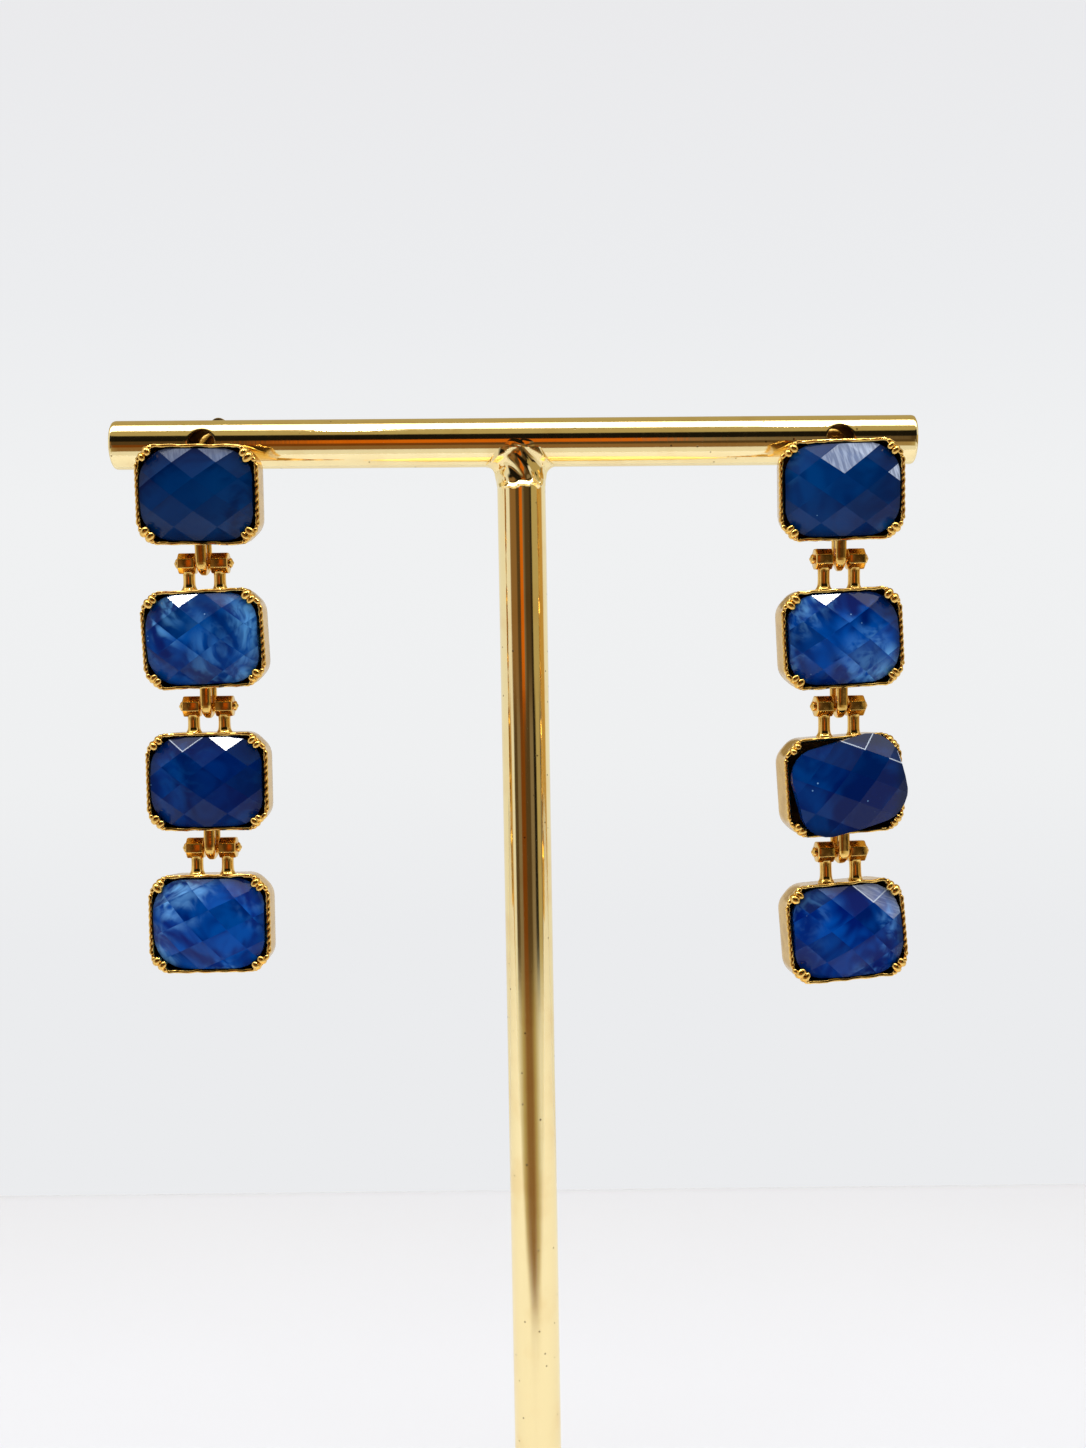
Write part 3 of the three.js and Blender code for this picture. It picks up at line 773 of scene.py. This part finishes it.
def ringStrap():
    # a crowned strap carried down one leg, round the half circle and up the other
    inner = setting["ringBore"] / 2
    middle = inner + setting["ringThickness"] / 2
    centre = -setting["pinBelow"] + inner - 0.5
    top = -setting["height"] / 2 + 0.2
    leg = np.linspace(top, centre, 9)[:-1]
    turn = np.radians(np.linspace(180, 360, 25))
    y = np.concatenate([np.full(8, -middle), middle * np.cos(turn), np.full(8, middle)])
    z = np.concatenate([leg, centre + middle * np.sin(turn), leg[::-1]])
    path = np.stack([np.zeros_like(y), y - setting["pinForward"], z], -1)
    section = roundedBox(setting["ringWidth"], setting["ringThickness"], 0.42, 6)
    section[:, 1] *= 1 - 0.12 * (section[:, 0] / 0.7) ** 2
    narrower = 1 - 0.32 * np.clip((centre - z) / middle, 0, 1)[:, None] ** 2
    section = np.stack([section[None, :, 0] * narrower, section[None, :, 1] + 0 * narrower], -1)
    return sewn([surface(swept(path, section, np.array([1.0, 0, 0])))])


def earPost():
    # a round wire with a solder foot, a notch for the nut and a rounded tip, along Y
    start, tip = setting["depth"] / 2 - 0.4, setting["depth"] / 2 + setting["earPostLength"]
    size = setting["earPost"]
    profile = np.array([
        (0, start), (size + 0.18, start), (size + 0.18, start + 0.42), (size + 0.1, start + 0.5),
        (size + 0.03, start + 0.7), (size, start + 1.0), (size, tip - 2.6), (size - 0.04, tip - 2.4),
        (size - 0.09, tip - 2.2), (size - 0.09, tip - 2.0), (size - 0.03, tip - 1.8), (size, tip - 1.6),
        (size, tip - 0.5), (size * 0.9, tip - 0.25), (size * 0.6, tip - 0.06), (0, tip),
    ])
    grid = turned(profile, 28)[..., [0, 2, 1]]
    paintedShadeInBar = [0] * 4 + [0.85] * 5 + [0] * 7  # painted shade on the part inside the crossbar
    return sewn([surface(grid + [0, 0, setting["earPostAbove"]], paintedShadeInBar)])


def buildSetting(askew, seed, hasRing, pinAbove, reach):
    # the cup with its borders and claws is askew, what it hangs by isn't
    front = -setting["depth"] / 2
    width, height, cut = setting["width"] / 2 - 0.08, setting["height"] / 2 - 0.16, setting["cut"] - 0.1
    parts = [cup(seed)]
    random = np.random.default_rng(seed + 300)
    for side in (-1, 1):
        ends = [(side * width, front + 0.12, z) for z in (cut - height + 0.1, height - cut - 0.1)]
        parts.append(rope(*ends, setting["rope"]))
        for up in (-1, 1):
            ends = ((side * width, front + 0.05, up * (height - cut)),
                    (side * (width - cut), front + 0.05, up * height))
            parts.append(rope(*ends, setting["rope"] * 1.1, 0))
            for along in (-setting["clawSpacing"] / 2, setting["clawSpacing"] / 2):
                longer, thicker, shifted = random.uniform((0.6, 0.85, -0.12), (1.3, 1.2, 0.12))
                parts.append(claw(side, up, along + shifted, reach * longer, thicker))
    parts = placed(parts, (turning(0, 0, askew), np.zeros(3)))
    if pinAbove is None:
        parts.append(earPost())
    else:
        for side in (-1, 1):
            parts += [hingePost(side, pinAbove), octagonBarrel(side, pinAbove)]
    if hasRing:
        parts.append(ringStrap())
    return parts


pin = {"radius": 0.4, "end": 3.15, "dome": 0.625, "height": 0.5}


def hingePin():
    # a wire along X with a domed head and a small nipple outside each barrel
    end, dome, tall = pin["end"], pin["dome"], pin["height"]
    half = [
        (pin["radius"], 0), (pin["radius"], end - 0.02), (dome - 0.05, end), (dome, end + 0.05),
        (dome * 0.98, end + 0.14), (dome * 0.88, end + 0.24), (dome * 0.7, end + 0.32),
        (dome * 0.5, end + 0.36), (dome * 0.36, end + 0.39), (dome * 0.3, end + tall - 0.06),
        (dome * 0.2, end + tall - 0.01), (0, end + tall),
    ]
    profile = [(radius, -x) for radius, x in half[::-1]] + half[1:]
    return [sewn([surface(turned(profile, 26)[..., [2, 0, 1]])])]


nut = {
    "length": 8.0,
    "width": 5.2,
    "plate": 0.5,
    "corner": 1.1,
    "scroll": 0.95,
    "scrollWidth": 4.2,
    "scrollThickness": 0.28,
    "bore": 0.55,
}


def earNut():
    # a pressed plate round the post, and two ends of it that curl up behind and grip the post
    plate = nut["plate"]
    outline = roundedBox(nut["length"], nut["width"], nut["corner"], 12)
    hole = circle(np.arctan2(outline[:, 1], outline[:, 0])) * nut["bore"]
    rows = []
    for share, size, y in (
        (0, 1, 0.06), (0.03, 1, 0), (0.6, 1, 0), (0.95, 1, 0), (1, 0.99, 0.05), (1, 1, 0.14),
        (1, 1, plate - 0.14), (1, 0.99, plate - 0.05), (0.95, 1, plate), (0.3, 1, plate),
        (0.03, 1, plate), (0, 1, plate - 0.06), (0, 1, 0.06),
    ):
        flat = (hole * (1 - share) + outline * share) * size
        rows.append(np.stack([flat[:, 0], np.full(len(flat), y), flat[:, 1]], -1))
    # painted shade on the hole and on the plate round it
    parts = [sewn([surface(np.stack(rows), [1, 1, 1] + [0] * 9 + [1])])]
    section = roundedBox(nut["scrollWidth"], nut["scrollThickness"], 0.1, 3)
    turn = np.linspace(0, 3.4 * np.pi, 60)
    size = nut["scroll"] - 0.15 - 0.055 * turn
    for side in (-1, 1):
        x = side * (nut["scroll"] + size * np.sin(turn))
        y = plate + nut["scroll"] - 0.2 - size * np.cos(turn)
        path = np.stack([x, y, np.zeros_like(x)], -1)
        parts.append(sewn([surface(swept(path, section, np.array([0, 0, 1.0])))]))
    return parts


# how each setting hangs from the piece that carries it: faceUp, turn, askew, side
hangs = {
    "left": {"pinToLower": 3.2, "nutTurn": 57,
             "settings": [(-4, -0.5, -1, 0.4), (4, 0, 1.9, 0), (2, 0.4, 0.1, 0), (3, -0.6, 0.5, 0)]},
    "right": {"pinToLower": 3.6, "nutTurn": 8,
              "settings": [(-4, -1.8, 1, -0.5), (4, 8, 2.7, 0), (2, 4, 3.2, 0), (3, -1.5, 3.1, 0)]},
}
stoneSeats = {}


def addEarring(name, hole):
    # every setting hangs in the place of the one above, from its post hole down
    hang = hangs[name]
    pinAbove = setting["height"] / 2 + hang["pinToLower"]
    lip = sqrt(bar["radius"] ** 2 - bar["hole"] ** 2)
    slack = bar["hole"] - setting["earPost"] - 0.1
    forward = setting["pinForward"]
    behind = setting["depth"] / 2 + 0.45 + bar["radius"] - lip
    place = (np.eye(3), hole)
    for number, (faceUp, turn, askew, side) in enumerate(hang["settings"], 1):
        seed = 10 * number + (5 if name == "left" else 0)
        reach = 0.45 if (name, number) == ("right", 3) else 1.0
        if number == 1:
            place = inside(place, turning(faceUp, turn), [side, -lip, -sqrt(slack**2 - side**2)])
            nutPlace = inside(place, turning(0, 0, hang["nutTurn"]), [0, lip + bar["radius"] + 0.6, 0])
            parts = placed(earNut(), nutPlace)
            addPiece(f"{name}EarNut", parts, finishes["nut"], f"{name}_ear_nut")
            place = inside(place, np.eye(3), [0, -behind, -setting["earPostAbove"]])
            parts = buildSetting(askew, seed, True, None, reach)
        else:
            place = inside(place, turning(faceUp, turn), [side, -forward, -setting["pinBelow"]])
            parts = placed(hingePin(), place)
            addPiece(f"{name}HingePin{number - 1}", parts, finishes["earring"],
                     f"{name}_hinge_pin_{number - 1}", 50)
            place = inside(place, np.eye(3), [0, forward, -pinAbove])
            parts = buildSetting(askew, seed, number < 4, pinAbove, reach)
        addPiece(f"{name}Setting{number}", placed(parts, place), finishes["earring"],
                 f"{name}_setting_{number}")
        stoneSeats[f"{name}_stone_{number}"] = inside(place, turning(0, 0, askew), np.zeros(3))


for name, side in (("left", -1), ("right", 1)):
    addEarring(name, onBar(side * holeAcross))
    print(name, "earring's metal made")

# colours are as a screen shows them, 0 to 255. In the stone's own plane, clouds are (across, up, radius,
# strength), brushed facets (across, up, strength), and the facets that mirror a lamp or carry painted
# highlights on their lower edges (across, up). Grain is the angle of the brushed streaks.
stones = {
    "left_stone_1": {
        "deep": (0, 14, 56), "mid": (0, 38, 88), "glow": (6, 64, 120), "seed": 1,
        "clouds": [(-4, 1, 3, 0.3), (3, -1, 4, 0.3)],
        "brushed": [(-1.5, 5, 0.14), (1.8, 5, 0.14)],
    },
    "left_stone_2": {
        "deep": (0, 24, 90), "mid": (0, 66, 146), "glow": (92, 164, 230), "seed": 2,
        "clouds": [(-3, 1.5, 3, 0.9), (1, -0.5, 3, 0.7), (4, 1, 3, 0.8), (3.5, -3, 2, 0.9)],
        "mirrors": [(-2.6, 4.6)],
    },
    "left_stone_3": {
        "deep": (0, 20, 78), "mid": (0, 46, 118), "glow": (14, 84, 154), "seed": 3,
        "clouds": [(-2, 1, 4, 0.3), (4, -1, 3, 0.3)],
        "mirrors": [(2.6, 4.6)], "paintedEdgeHighlights": [(-2.6, 4.6)],
    },
    "left_stone_4": {
        "deep": (0, 26, 104), "mid": (0, 72, 162), "glow": (116, 184, 250), "seed": 4,
        "clouds": [(-2.2, 2.8, 3.2, 1.0), (-4.6, -1.8, 2.6, 0.7), (4.6, 2, 2.6, 0.5), (1.5, -2.6, 2, 0.5)],
    },
    "right_stone_1": {
        "deep": (0, 24, 76), "mid": (0, 50, 110), "glow": (44, 112, 176), "seed": 5,
        "clouds": [(-5, 2, 2.4, 0.5), (4, -3, 2, 0.3)],
        "brushed": [(0, 4.3, 0.5), (3.4, 4.4, 0.55), (5.6, 2.6, 0.75)],
    },
    "right_stone_2": {
        "deep": (0, 22, 90), "mid": (0, 70, 160), "glow": (106, 176, 240), "seed": 6,
        "clouds": [(-3, 2, 3, 0.9), (-4.5, -1, 2, 0.8), (1.5, -1, 3, 0.5), (4, -2.5, 2.4, 0.8)],
        "mirrors": [(-1, 4.8)],
    },
    "right_stone_3": {
        "deep": (0, 20, 80), "mid": (0, 46, 112), "glow": (16, 80, 146), "seed": 7,
        "clouds": [(-2, 0, 4, 0.3)],
        "paintedEdgeHighlights": [(2.4, 5.2), (4.6, 3.6)],
    },
    "right_stone_4": {
        "deep": (0, 22, 98), "mid": (0, 66, 156), "glow": (94, 164, 240), "seed": 8,
        "clouds": [(-2.8, 0.4, 2.6, 0.9), (4.2, 0.4, 2, 0.6), (2.5, -3, 2.4, 0.6)],
        "brushed": [(4.2, 3.4, 0.32), (5.4, 2.2, 0.32)], "grain": -25, "paintedEdgeHighlights": [(4.2, 3.4)],
    },
}
stoneTints = {
    "rim": (2, 14, 42),
    "toneAndShade": (0, 28, 68),
    "brushed": (196, 212, 240),
    "speck": (120, 170, 220),
    # colour of the painted highlights along facet edges
    "line": (205, 220, 240),
}
stoneCut = {
    "edge": 0.06,
    "paintedHighlightWidth": 0.09,
    "depth": 3.2,
    "halfWidth": 6.73,
    "halfHeight": 5.43,
    "gloss": 0.28,  # of a facet that faces forwards
    "glossTilt": 1.2,
    "glossMost": 0.75,
    "lowFacets": -4.2,  # facets below this height are hardly glossy
    "lowGloss": 0.12,
}
facetLamp = {"distance": 130, "size": 9, "brightness": 60}


def addLamp(name, place, toward, width, height, brightness, hidden=()):
    # a flat lamp of that radiance, facing a point
    data = bpy.data.lights.new(name, "AREA")
    data.shape, data.size, data.size_y = "RECTANGLE", width * 0.001, height * 0.001
    data.energy = brightness * np.pi * data.size * data.size_y
    lamp = bpy.data.objects.new(name, data)
    turn = Vector(np.subtract(place, toward)).to_track_quat("Z", "Y").to_matrix().to_4x4()
    lamp.matrix_world = Matrix.Translation(Vector(place) * 0.001) @ turn
    for ray in hidden:
        setattr(lamp, ray, False)
    scene.collection.objects.link(lamp)


def addFacetLamp(name, middle, normal):
    # a small lamp where that facet mirrors it into the camera: the line of sight, mirrored in the facet
    sight = unit(middle - cameraFrame()[3])
    mirrored = sight - 2 * (sight @ normal) * normal
    size = facetLamp["size"]
    addLamp(name + "Lamp", middle + mirrored * facetLamp["distance"], middle, size, size,
            facetLamp["brightness"], ("visible_diffuse", "visible_camera"))


def lineMask(tree, x, z, start, end):
    # 1 on the straight line from start to end, 0 away from it
    step = np.subtract(end, start)
    length = float(np.hypot(*step))
    dx, dz = (step / length).tolist()
    x, z = x - float(start[0]), z - float(start[1])
    along = tree.maths("MINIMUM", (x * dx + z * dz).largest(0.0), length)
    apart = ((x - along * dx) ** 2.0 + (z - along * dz) ** 2.0) ** 0.5
    return 1 - apart.within(stoneCut["paintedHighlightWidth"] * 0.4, stoneCut["paintedHighlightWidth"])


def stoneMaterial(name, look, lines):
    # two blues that swirl, clouds, a dark rim, brushed facets, specks and painted highlights on chosen facet
    # edges
    material, tree = newMaterial(name.replace("_", " "))
    deep, mid, glow = (screenColour(*look[key]) for key in ("deep", "mid", "glow"))
    tints = {key: screenColour(*value) for key, value in stoneTints.items()}
    flat = tree.inMillimetres(stoneSeats[name][1])
    deepIn = tree.vector("ADD", flat, tree.attribute("facetShift", "Vector"))
    brushed = tree.attribute("brushed")
    swirl = tree.noise(tree.vector("ADD", deepIn, (look["seed"] * 37.0, 0, 0)), 0.17, 2, 1.3)
    wisps = tree.noise(tree.vector("ADD", deepIn, (0, 0, look["seed"] * 21.0)), 0.36, 2.5, 1.7)
    colour = tree.mix(swirl.within(0.32, 0.68), deep, mid)
    haze = None
    for across, up, radius, strength in look["clouds"]:
        apart = tree.add(
            "ShaderNodeVectorMath", {"operation": "DISTANCE"}, {0: deepIn, 1: (across, -2.0, up)}, 1)
        cloud = (1 - apart.within(radius * 0.1, radius * 1.15)) * strength
        haze = cloud if haze is None else haze.largest(cloud)
    haze = haze * (wisps * 0.7 + swirl * 0.5).within(0.5, 0.74)
    colour = tree.mix(haze, colour, glow)
    x, _, z = tree.parts(flat)
    rim = ((x / stoneCut["halfWidth"]) ** 4.0 + (z / stoneCut["halfHeight"]) ** 4.0).within(0.45, 1.25)
    colour = tree.mix(rim * 0.75, colour, tints["rim"])
    # facet tone that differs at random, with painted shade on facets that face upwards
    colour = tree.mix(tree.attribute("facetTone") * 0.55, colour, tints["toneAndShade"])
    grain = radians(look.get("grain", -75))
    along, across = x * np.cos(grain) + z * np.sin(grain), z * np.cos(grain) - x * np.sin(grain)
    streaks = tree.noise(tree.add("ShaderNodeCombineXYZ", {}, {0: along * 0.45, 1: across * 3.2}), 1, 3, 0.4)
    colour = tree.mix(brushed * (streaks.within(0.4, 0.66) * 0.5 + 0.5), colour, tints["brushed"])
    colour = tree.mix(tree.specks(deepIn, 0.42, 0.03, 0.05) * 0.6, colour, tints["speck"])
    # painted highlights along the lower edges of the chosen facets
    for start, end in lines:
        colour = tree.mix(lineMask(tree, x, z, start, end) * 0.6, colour, tints["line"])
    finishShader(tree, {
        "Base Color": colour,
        "Roughness": brushed * 0.22 + 0.035,
        "Specular IOR Level": 0.0,
        "Coat Weight": tree.attribute("facetGloss"),
        "Coat Roughness": 0.03,
        "Coat IOR": 1.34,
        "Normal": tree.bump(streaks, 0.02, 0.00002),
    })
    return material


def cutStone(name):
    # the solid's triangles joined into facets
    work = bmesh.new()
    work.from_mesh(frame["nodes"][name].data)
    bmesh.ops.remove_doubles(work, verts=work.verts, dist=2e-6)
    bmesh.ops.dissolve_limit(work, angle_limit=radians(0.4), verts=work.verts, edges=work.edges)
    bmesh.ops.recalc_face_normals(work, faces=work.faces)
    mesh = bpy.data.meshes.new(name)
    work.to_mesh(mesh)
    work.free()
    return mesh


def lowerEdges(mesh, facet, centre):
    # the lower edges of a facet, each as start and end in the stone's own plane
    corners = [mesh.vertices[index].co * 1000 - Vector(centre) for index in mesh.polygons[facet].vertices]
    level = sum(corner.z for corner in corners) / len(corners)
    return [((one.x, one.z), (other.x, other.z)) for one, other in zip(corners, corners[1:] + corners[:1])
            if (one.z + other.z) / 2 < level]


def addStone(name, look):
    # the cut stone with its edges just broken, and a shift, tone with painted shade, brushing and gloss for
    # each facet
    rotation, centre = stoneSeats[name]
    mesh = cutStone(name)
    count = len(mesh.polygons)
    normal, middle = np.zeros(count * 3), np.zeros(count * 3)
    mesh.polygons.foreach_get("normal", normal)
    mesh.polygons.foreach_get("center", middle)
    normal = normal.reshape(-1, 3) @ rotation
    middle = (middle.reshape(-1, 3) * 1000 - centre) @ rotation
    crown = normal[:, 1] < -0.3

    def facetAt(across, up):
        # the crown's facet whose middle is nearest
        return int(np.argmin(np.hypot(middle[:, 0] - across, middle[:, 2] - up) + 100 * ~crown))

    random = np.random.default_rng(look["seed"])
    shift = np.column_stack([normal[:, 0], np.zeros(count), normal[:, 2]]) * -stoneCut["depth"] * 1.6
    shift += random.uniform(-0.35, 0.35, (count, 3)) * [1, 0, 1]
    # random tone, plus painted shade that grows on facets facing upwards
    toneAndShade = np.clip(random.uniform(-0.2, 0.9, count) + normal[:, 2] * 0.4, 0, 1) ** 1.5
    brushed = np.zeros(count)
    gloss = stoneCut["gloss"] + stoneCut["glossTilt"] * np.hypot(normal[:, 0], normal[:, 2])
    gloss = np.clip(gloss, 0, stoneCut["glossMost"])
    gloss[crown & (middle[:, 2] < stoneCut["lowFacets"])] = stoneCut["lowGloss"]
    for across, up, strength in look.get("brushed", []):
        brushed[facetAt(across, up)] = strength
    lines = []
    # painted highlights along the lower edges of the facets listed
    for spot in look.get("paintedEdgeHighlights", []):
        lines += lowerEdges(mesh, facetAt(*spot), centre)
    for spot in look.get("mirrors", []):
        facet = facetAt(*spot)
        gloss[facet] = 1
        addFacetLamp(name, rotation @ middle[facet] + centre, rotation @ normal[facet])
    facets = {"facetShift": shift, "facetTone": toneAndShade, "brushed": brushed, "facetGloss": gloss}
    for key, values in facets.items():
        kind, field = ("FLOAT_VECTOR", "vector") if values.ndim == 2 else ("FLOAT", "value")
        attribute = mesh.attributes.new(key, kind, "FACE")
        attribute.data.foreach_set(field, values.astype(np.float32).ravel())
    mesh.shade_flat()
    mesh.materials.clear()
    mesh.materials.append(stoneMaterial(name, look, lines))
    words = name.split("_")
    stone = bpy.data.objects.new(words[0] + "Stone" + words[2], mesh)
    scene.collection.objects.link(stone)
    bevel = stone.modifiers.new("broken edges", "BEVEL")
    bevel.width, bevel.segments = stoneCut["edge"] * 0.001, 1
    bevel.limit_method, bevel.angle_limit = "ANGLE", radians(3)
    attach(stone, frame["nodes"][name]["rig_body"])
    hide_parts(name)


for name, look in stones.items():
    addStone(name, look)
print("stones made")

studio = {
    "tableFront": -130,
    "tableBack": 188,
    "tableSide": 900,
    "tableEdge": 16,
    "floorLength": 900,
    "table": (0.668, 0.70, 0.805),
    "tableLight": (0.682, 0.714, 0.82),
    "tableFar": (0.670, 0.70, 0.815),
}


def addTable():
    # a slab whose edges are rounded in Y
    front, back, edge, side = (studio[key] for key in ("tableFront", "tableBack", "tableEdge", "tableSide"))
    turn = np.radians(np.linspace(90, -90, 13))
    y = np.concatenate([back - edge + edge * np.cos(turn), front + edge - edge * np.cos(turn[::-1])])
    z = edge * np.sin(np.concatenate([turn, turn[::-1]])) - edge
    rows = [np.column_stack([np.full(len(y), x), y, z]) for x in (-side, side)]
    ends = [np.tile([x, y.mean(), z.mean()], (len(y), 1)) for x in (-side, side)]
    slab = sewn([surface(np.stack([ends[0], *rows, ends[1]]))])
    material, tree = newMaterial("white table")
    place = tree.inMillimetres()
    far = tree.parts(place)[1].within(back - 34, back - 2)
    colour = tree.mix(tree.noise(place, 0.02, 2), studio["table"], studio["tableLight"])
    colour = tree.mix(far, colour, studio["tableFar"])
    finishShader(tree, {"Base Color": colour, "Roughness": 0.8, "IOR": 1.3})
    table = addMesh("table", [slab], material)
    # the floor in front of the table's edge is seen, but the metal mirrors the darker room there
    low, rows = -0.02, (front - studio["floorLength"], front + edge)
    corners = np.array([[[x, y, low] for x in (-side, side)] for y in rows], float)
    floor = addMesh("floor", [surface(corners, wrap=False)], material)
    floor.visible_glossy = floor.visible_diffuse = floor.visible_shadow = False


room = {
    "pale": (0.80, 0.80, 0.80),
    "brown": (0.24, 0.13, 0.05),
    "olive": (0.44, 0.36, 0.18),
    "orange": (0.60, 0.14, 0.006),
    "ember": (0.17, 0.05, 0.006),
    "glow": (0.50, 0.30, 0.08),
    "dusk": (0.22, 0.17, 0.11),
    "dark": (0.08, 0.05, 0.022),
    "black": (0.010, 0.008, 0.005),
}


def addWorld():
    # what the metal mirrors: stripes by azimuth near the horizon, dark above them in front and olive
    # overhead, pale walls at the sides, and a pale floor with a darker strip under the front. The camera
    # itself sees a plain pale backdrop.
    world = bpy.data.worlds.new("room")
    scene.world = world
    tree = NodeTree(world)
    x, y, z = tree.parts(tree.add("ShaderNodeTexCoord", output="Generated"))
    azimuth = tree.maths("ARCTAN2", x, y * -1) / (2 * np.pi) + 0.5
    elevation = tree.maths("ARCSINE", z) / np.pi + 0.5

    def stripes(*bands):
        return tree.ramp(azimuth, 360, [(degrees, room[name]) for degrees, name in bands])

    low = stripes(
        (-180, "pale"), (-90, "pale"), (-86, "glow"), (-74, "glow"), (-70, "pale"), (-60, "pale"),
        (-55, "dark"), (-42, "dark"), (-38, "dusk"), (-26, "dusk"), (-22, "ember"), (-6, "ember"),
        (-1, "dark"), (18, "dark"), (23, "dusk"), (36, "dusk"), (40, "black"), (50, "black"),
        (54, "olive"), (70, "olive"), (74, "dusk"), (85, "dusk"), (92, "glow"), (108, "glow"),
        (116, "pale"), (180, "pale"))
    level = stripes(
        (-180, "pale"), (-62, "pale"), (-56, "brown"), (-30, "brown"), (-24, "dark"), (-12, "dark"),
        (-9, "orange"), (3, "orange"), (5, "dusk"), (15, "dark"), (33, "dark"), (46, "black"),
        (49, "olive"), (77, "olive"), (84, "glow"), (108, "glow"), (116, "pale"), (180, "pale"))
    high = stripes(
        (-180, "olive"), (-110, "olive"), (-100, "pale"), (-64, "pale"), (-52, "black"), (58, "black"),
        (70, "pale"), (100, "pale"), (110, "olive"), (180, "olive"))
    under = stripes(
        (-180, "pale"), (-60, "pale"), (-36, "olive"), (-18, "brown"), (6, "brown"), (22, "olive"),
        (46, "pale"), (180, "pale"))
    height = elevation * 180 - 90
    around = tree.mix(height.within(-5, -2), low, level)
    around = tree.mix(height.within(10, 13), around, high)
    around = tree.mix(1 - height.within(-16, -13), around, under)
    around = tree.mix(1 - height.within(-34, -31), around, room["pale"])
    around = tree.mix(height.within(35, 40), around, room["olive"])
    backdrop = tree.ramp(elevation, 180, [(degrees, screenColour(*shade)) for degrees, shade in (
        (-90, (235, 236, 238)), (-12, (235, 236, 238)), (-6, (239, 240, 241)), (4, (240, 241, 242)),
        (11, (236, 237, 239)), (22, (234, 234, 236)), (90, (234, 234, 236)))])
    colour = tree.mix(tree.add("ShaderNodeLightPath", output="Is Camera Ray"), around, backdrop)
    light = tree.add("ShaderNodeBackground", {}, {"Color": colour, "Strength": 1.0})
    tree.add("ShaderNodeOutputWorld", {}, {"Surface": light})


# place, the point it faces, width, height, radiance, and the rays that pass it by
lamps = {
    "overheadLamp": ((0, -90, 765), (0, -90, 0), 1400, 380, 2.7),
    "ceilingFill": ((0, 150, 720), (0, 150, 0), 1500, 900, 0.75, ("visible_glossy",)),
    "frontFill": ((0, -700, 330), (0, 0, 110), 900, 600, 2.4, ("visible_glossy",)),
}

addTable()
for name, values in lamps.items():
    addLamp(name, *values)
addWorld()
scene.view_settings.view_transform = "Standard"
print("table, lights and surroundings made")
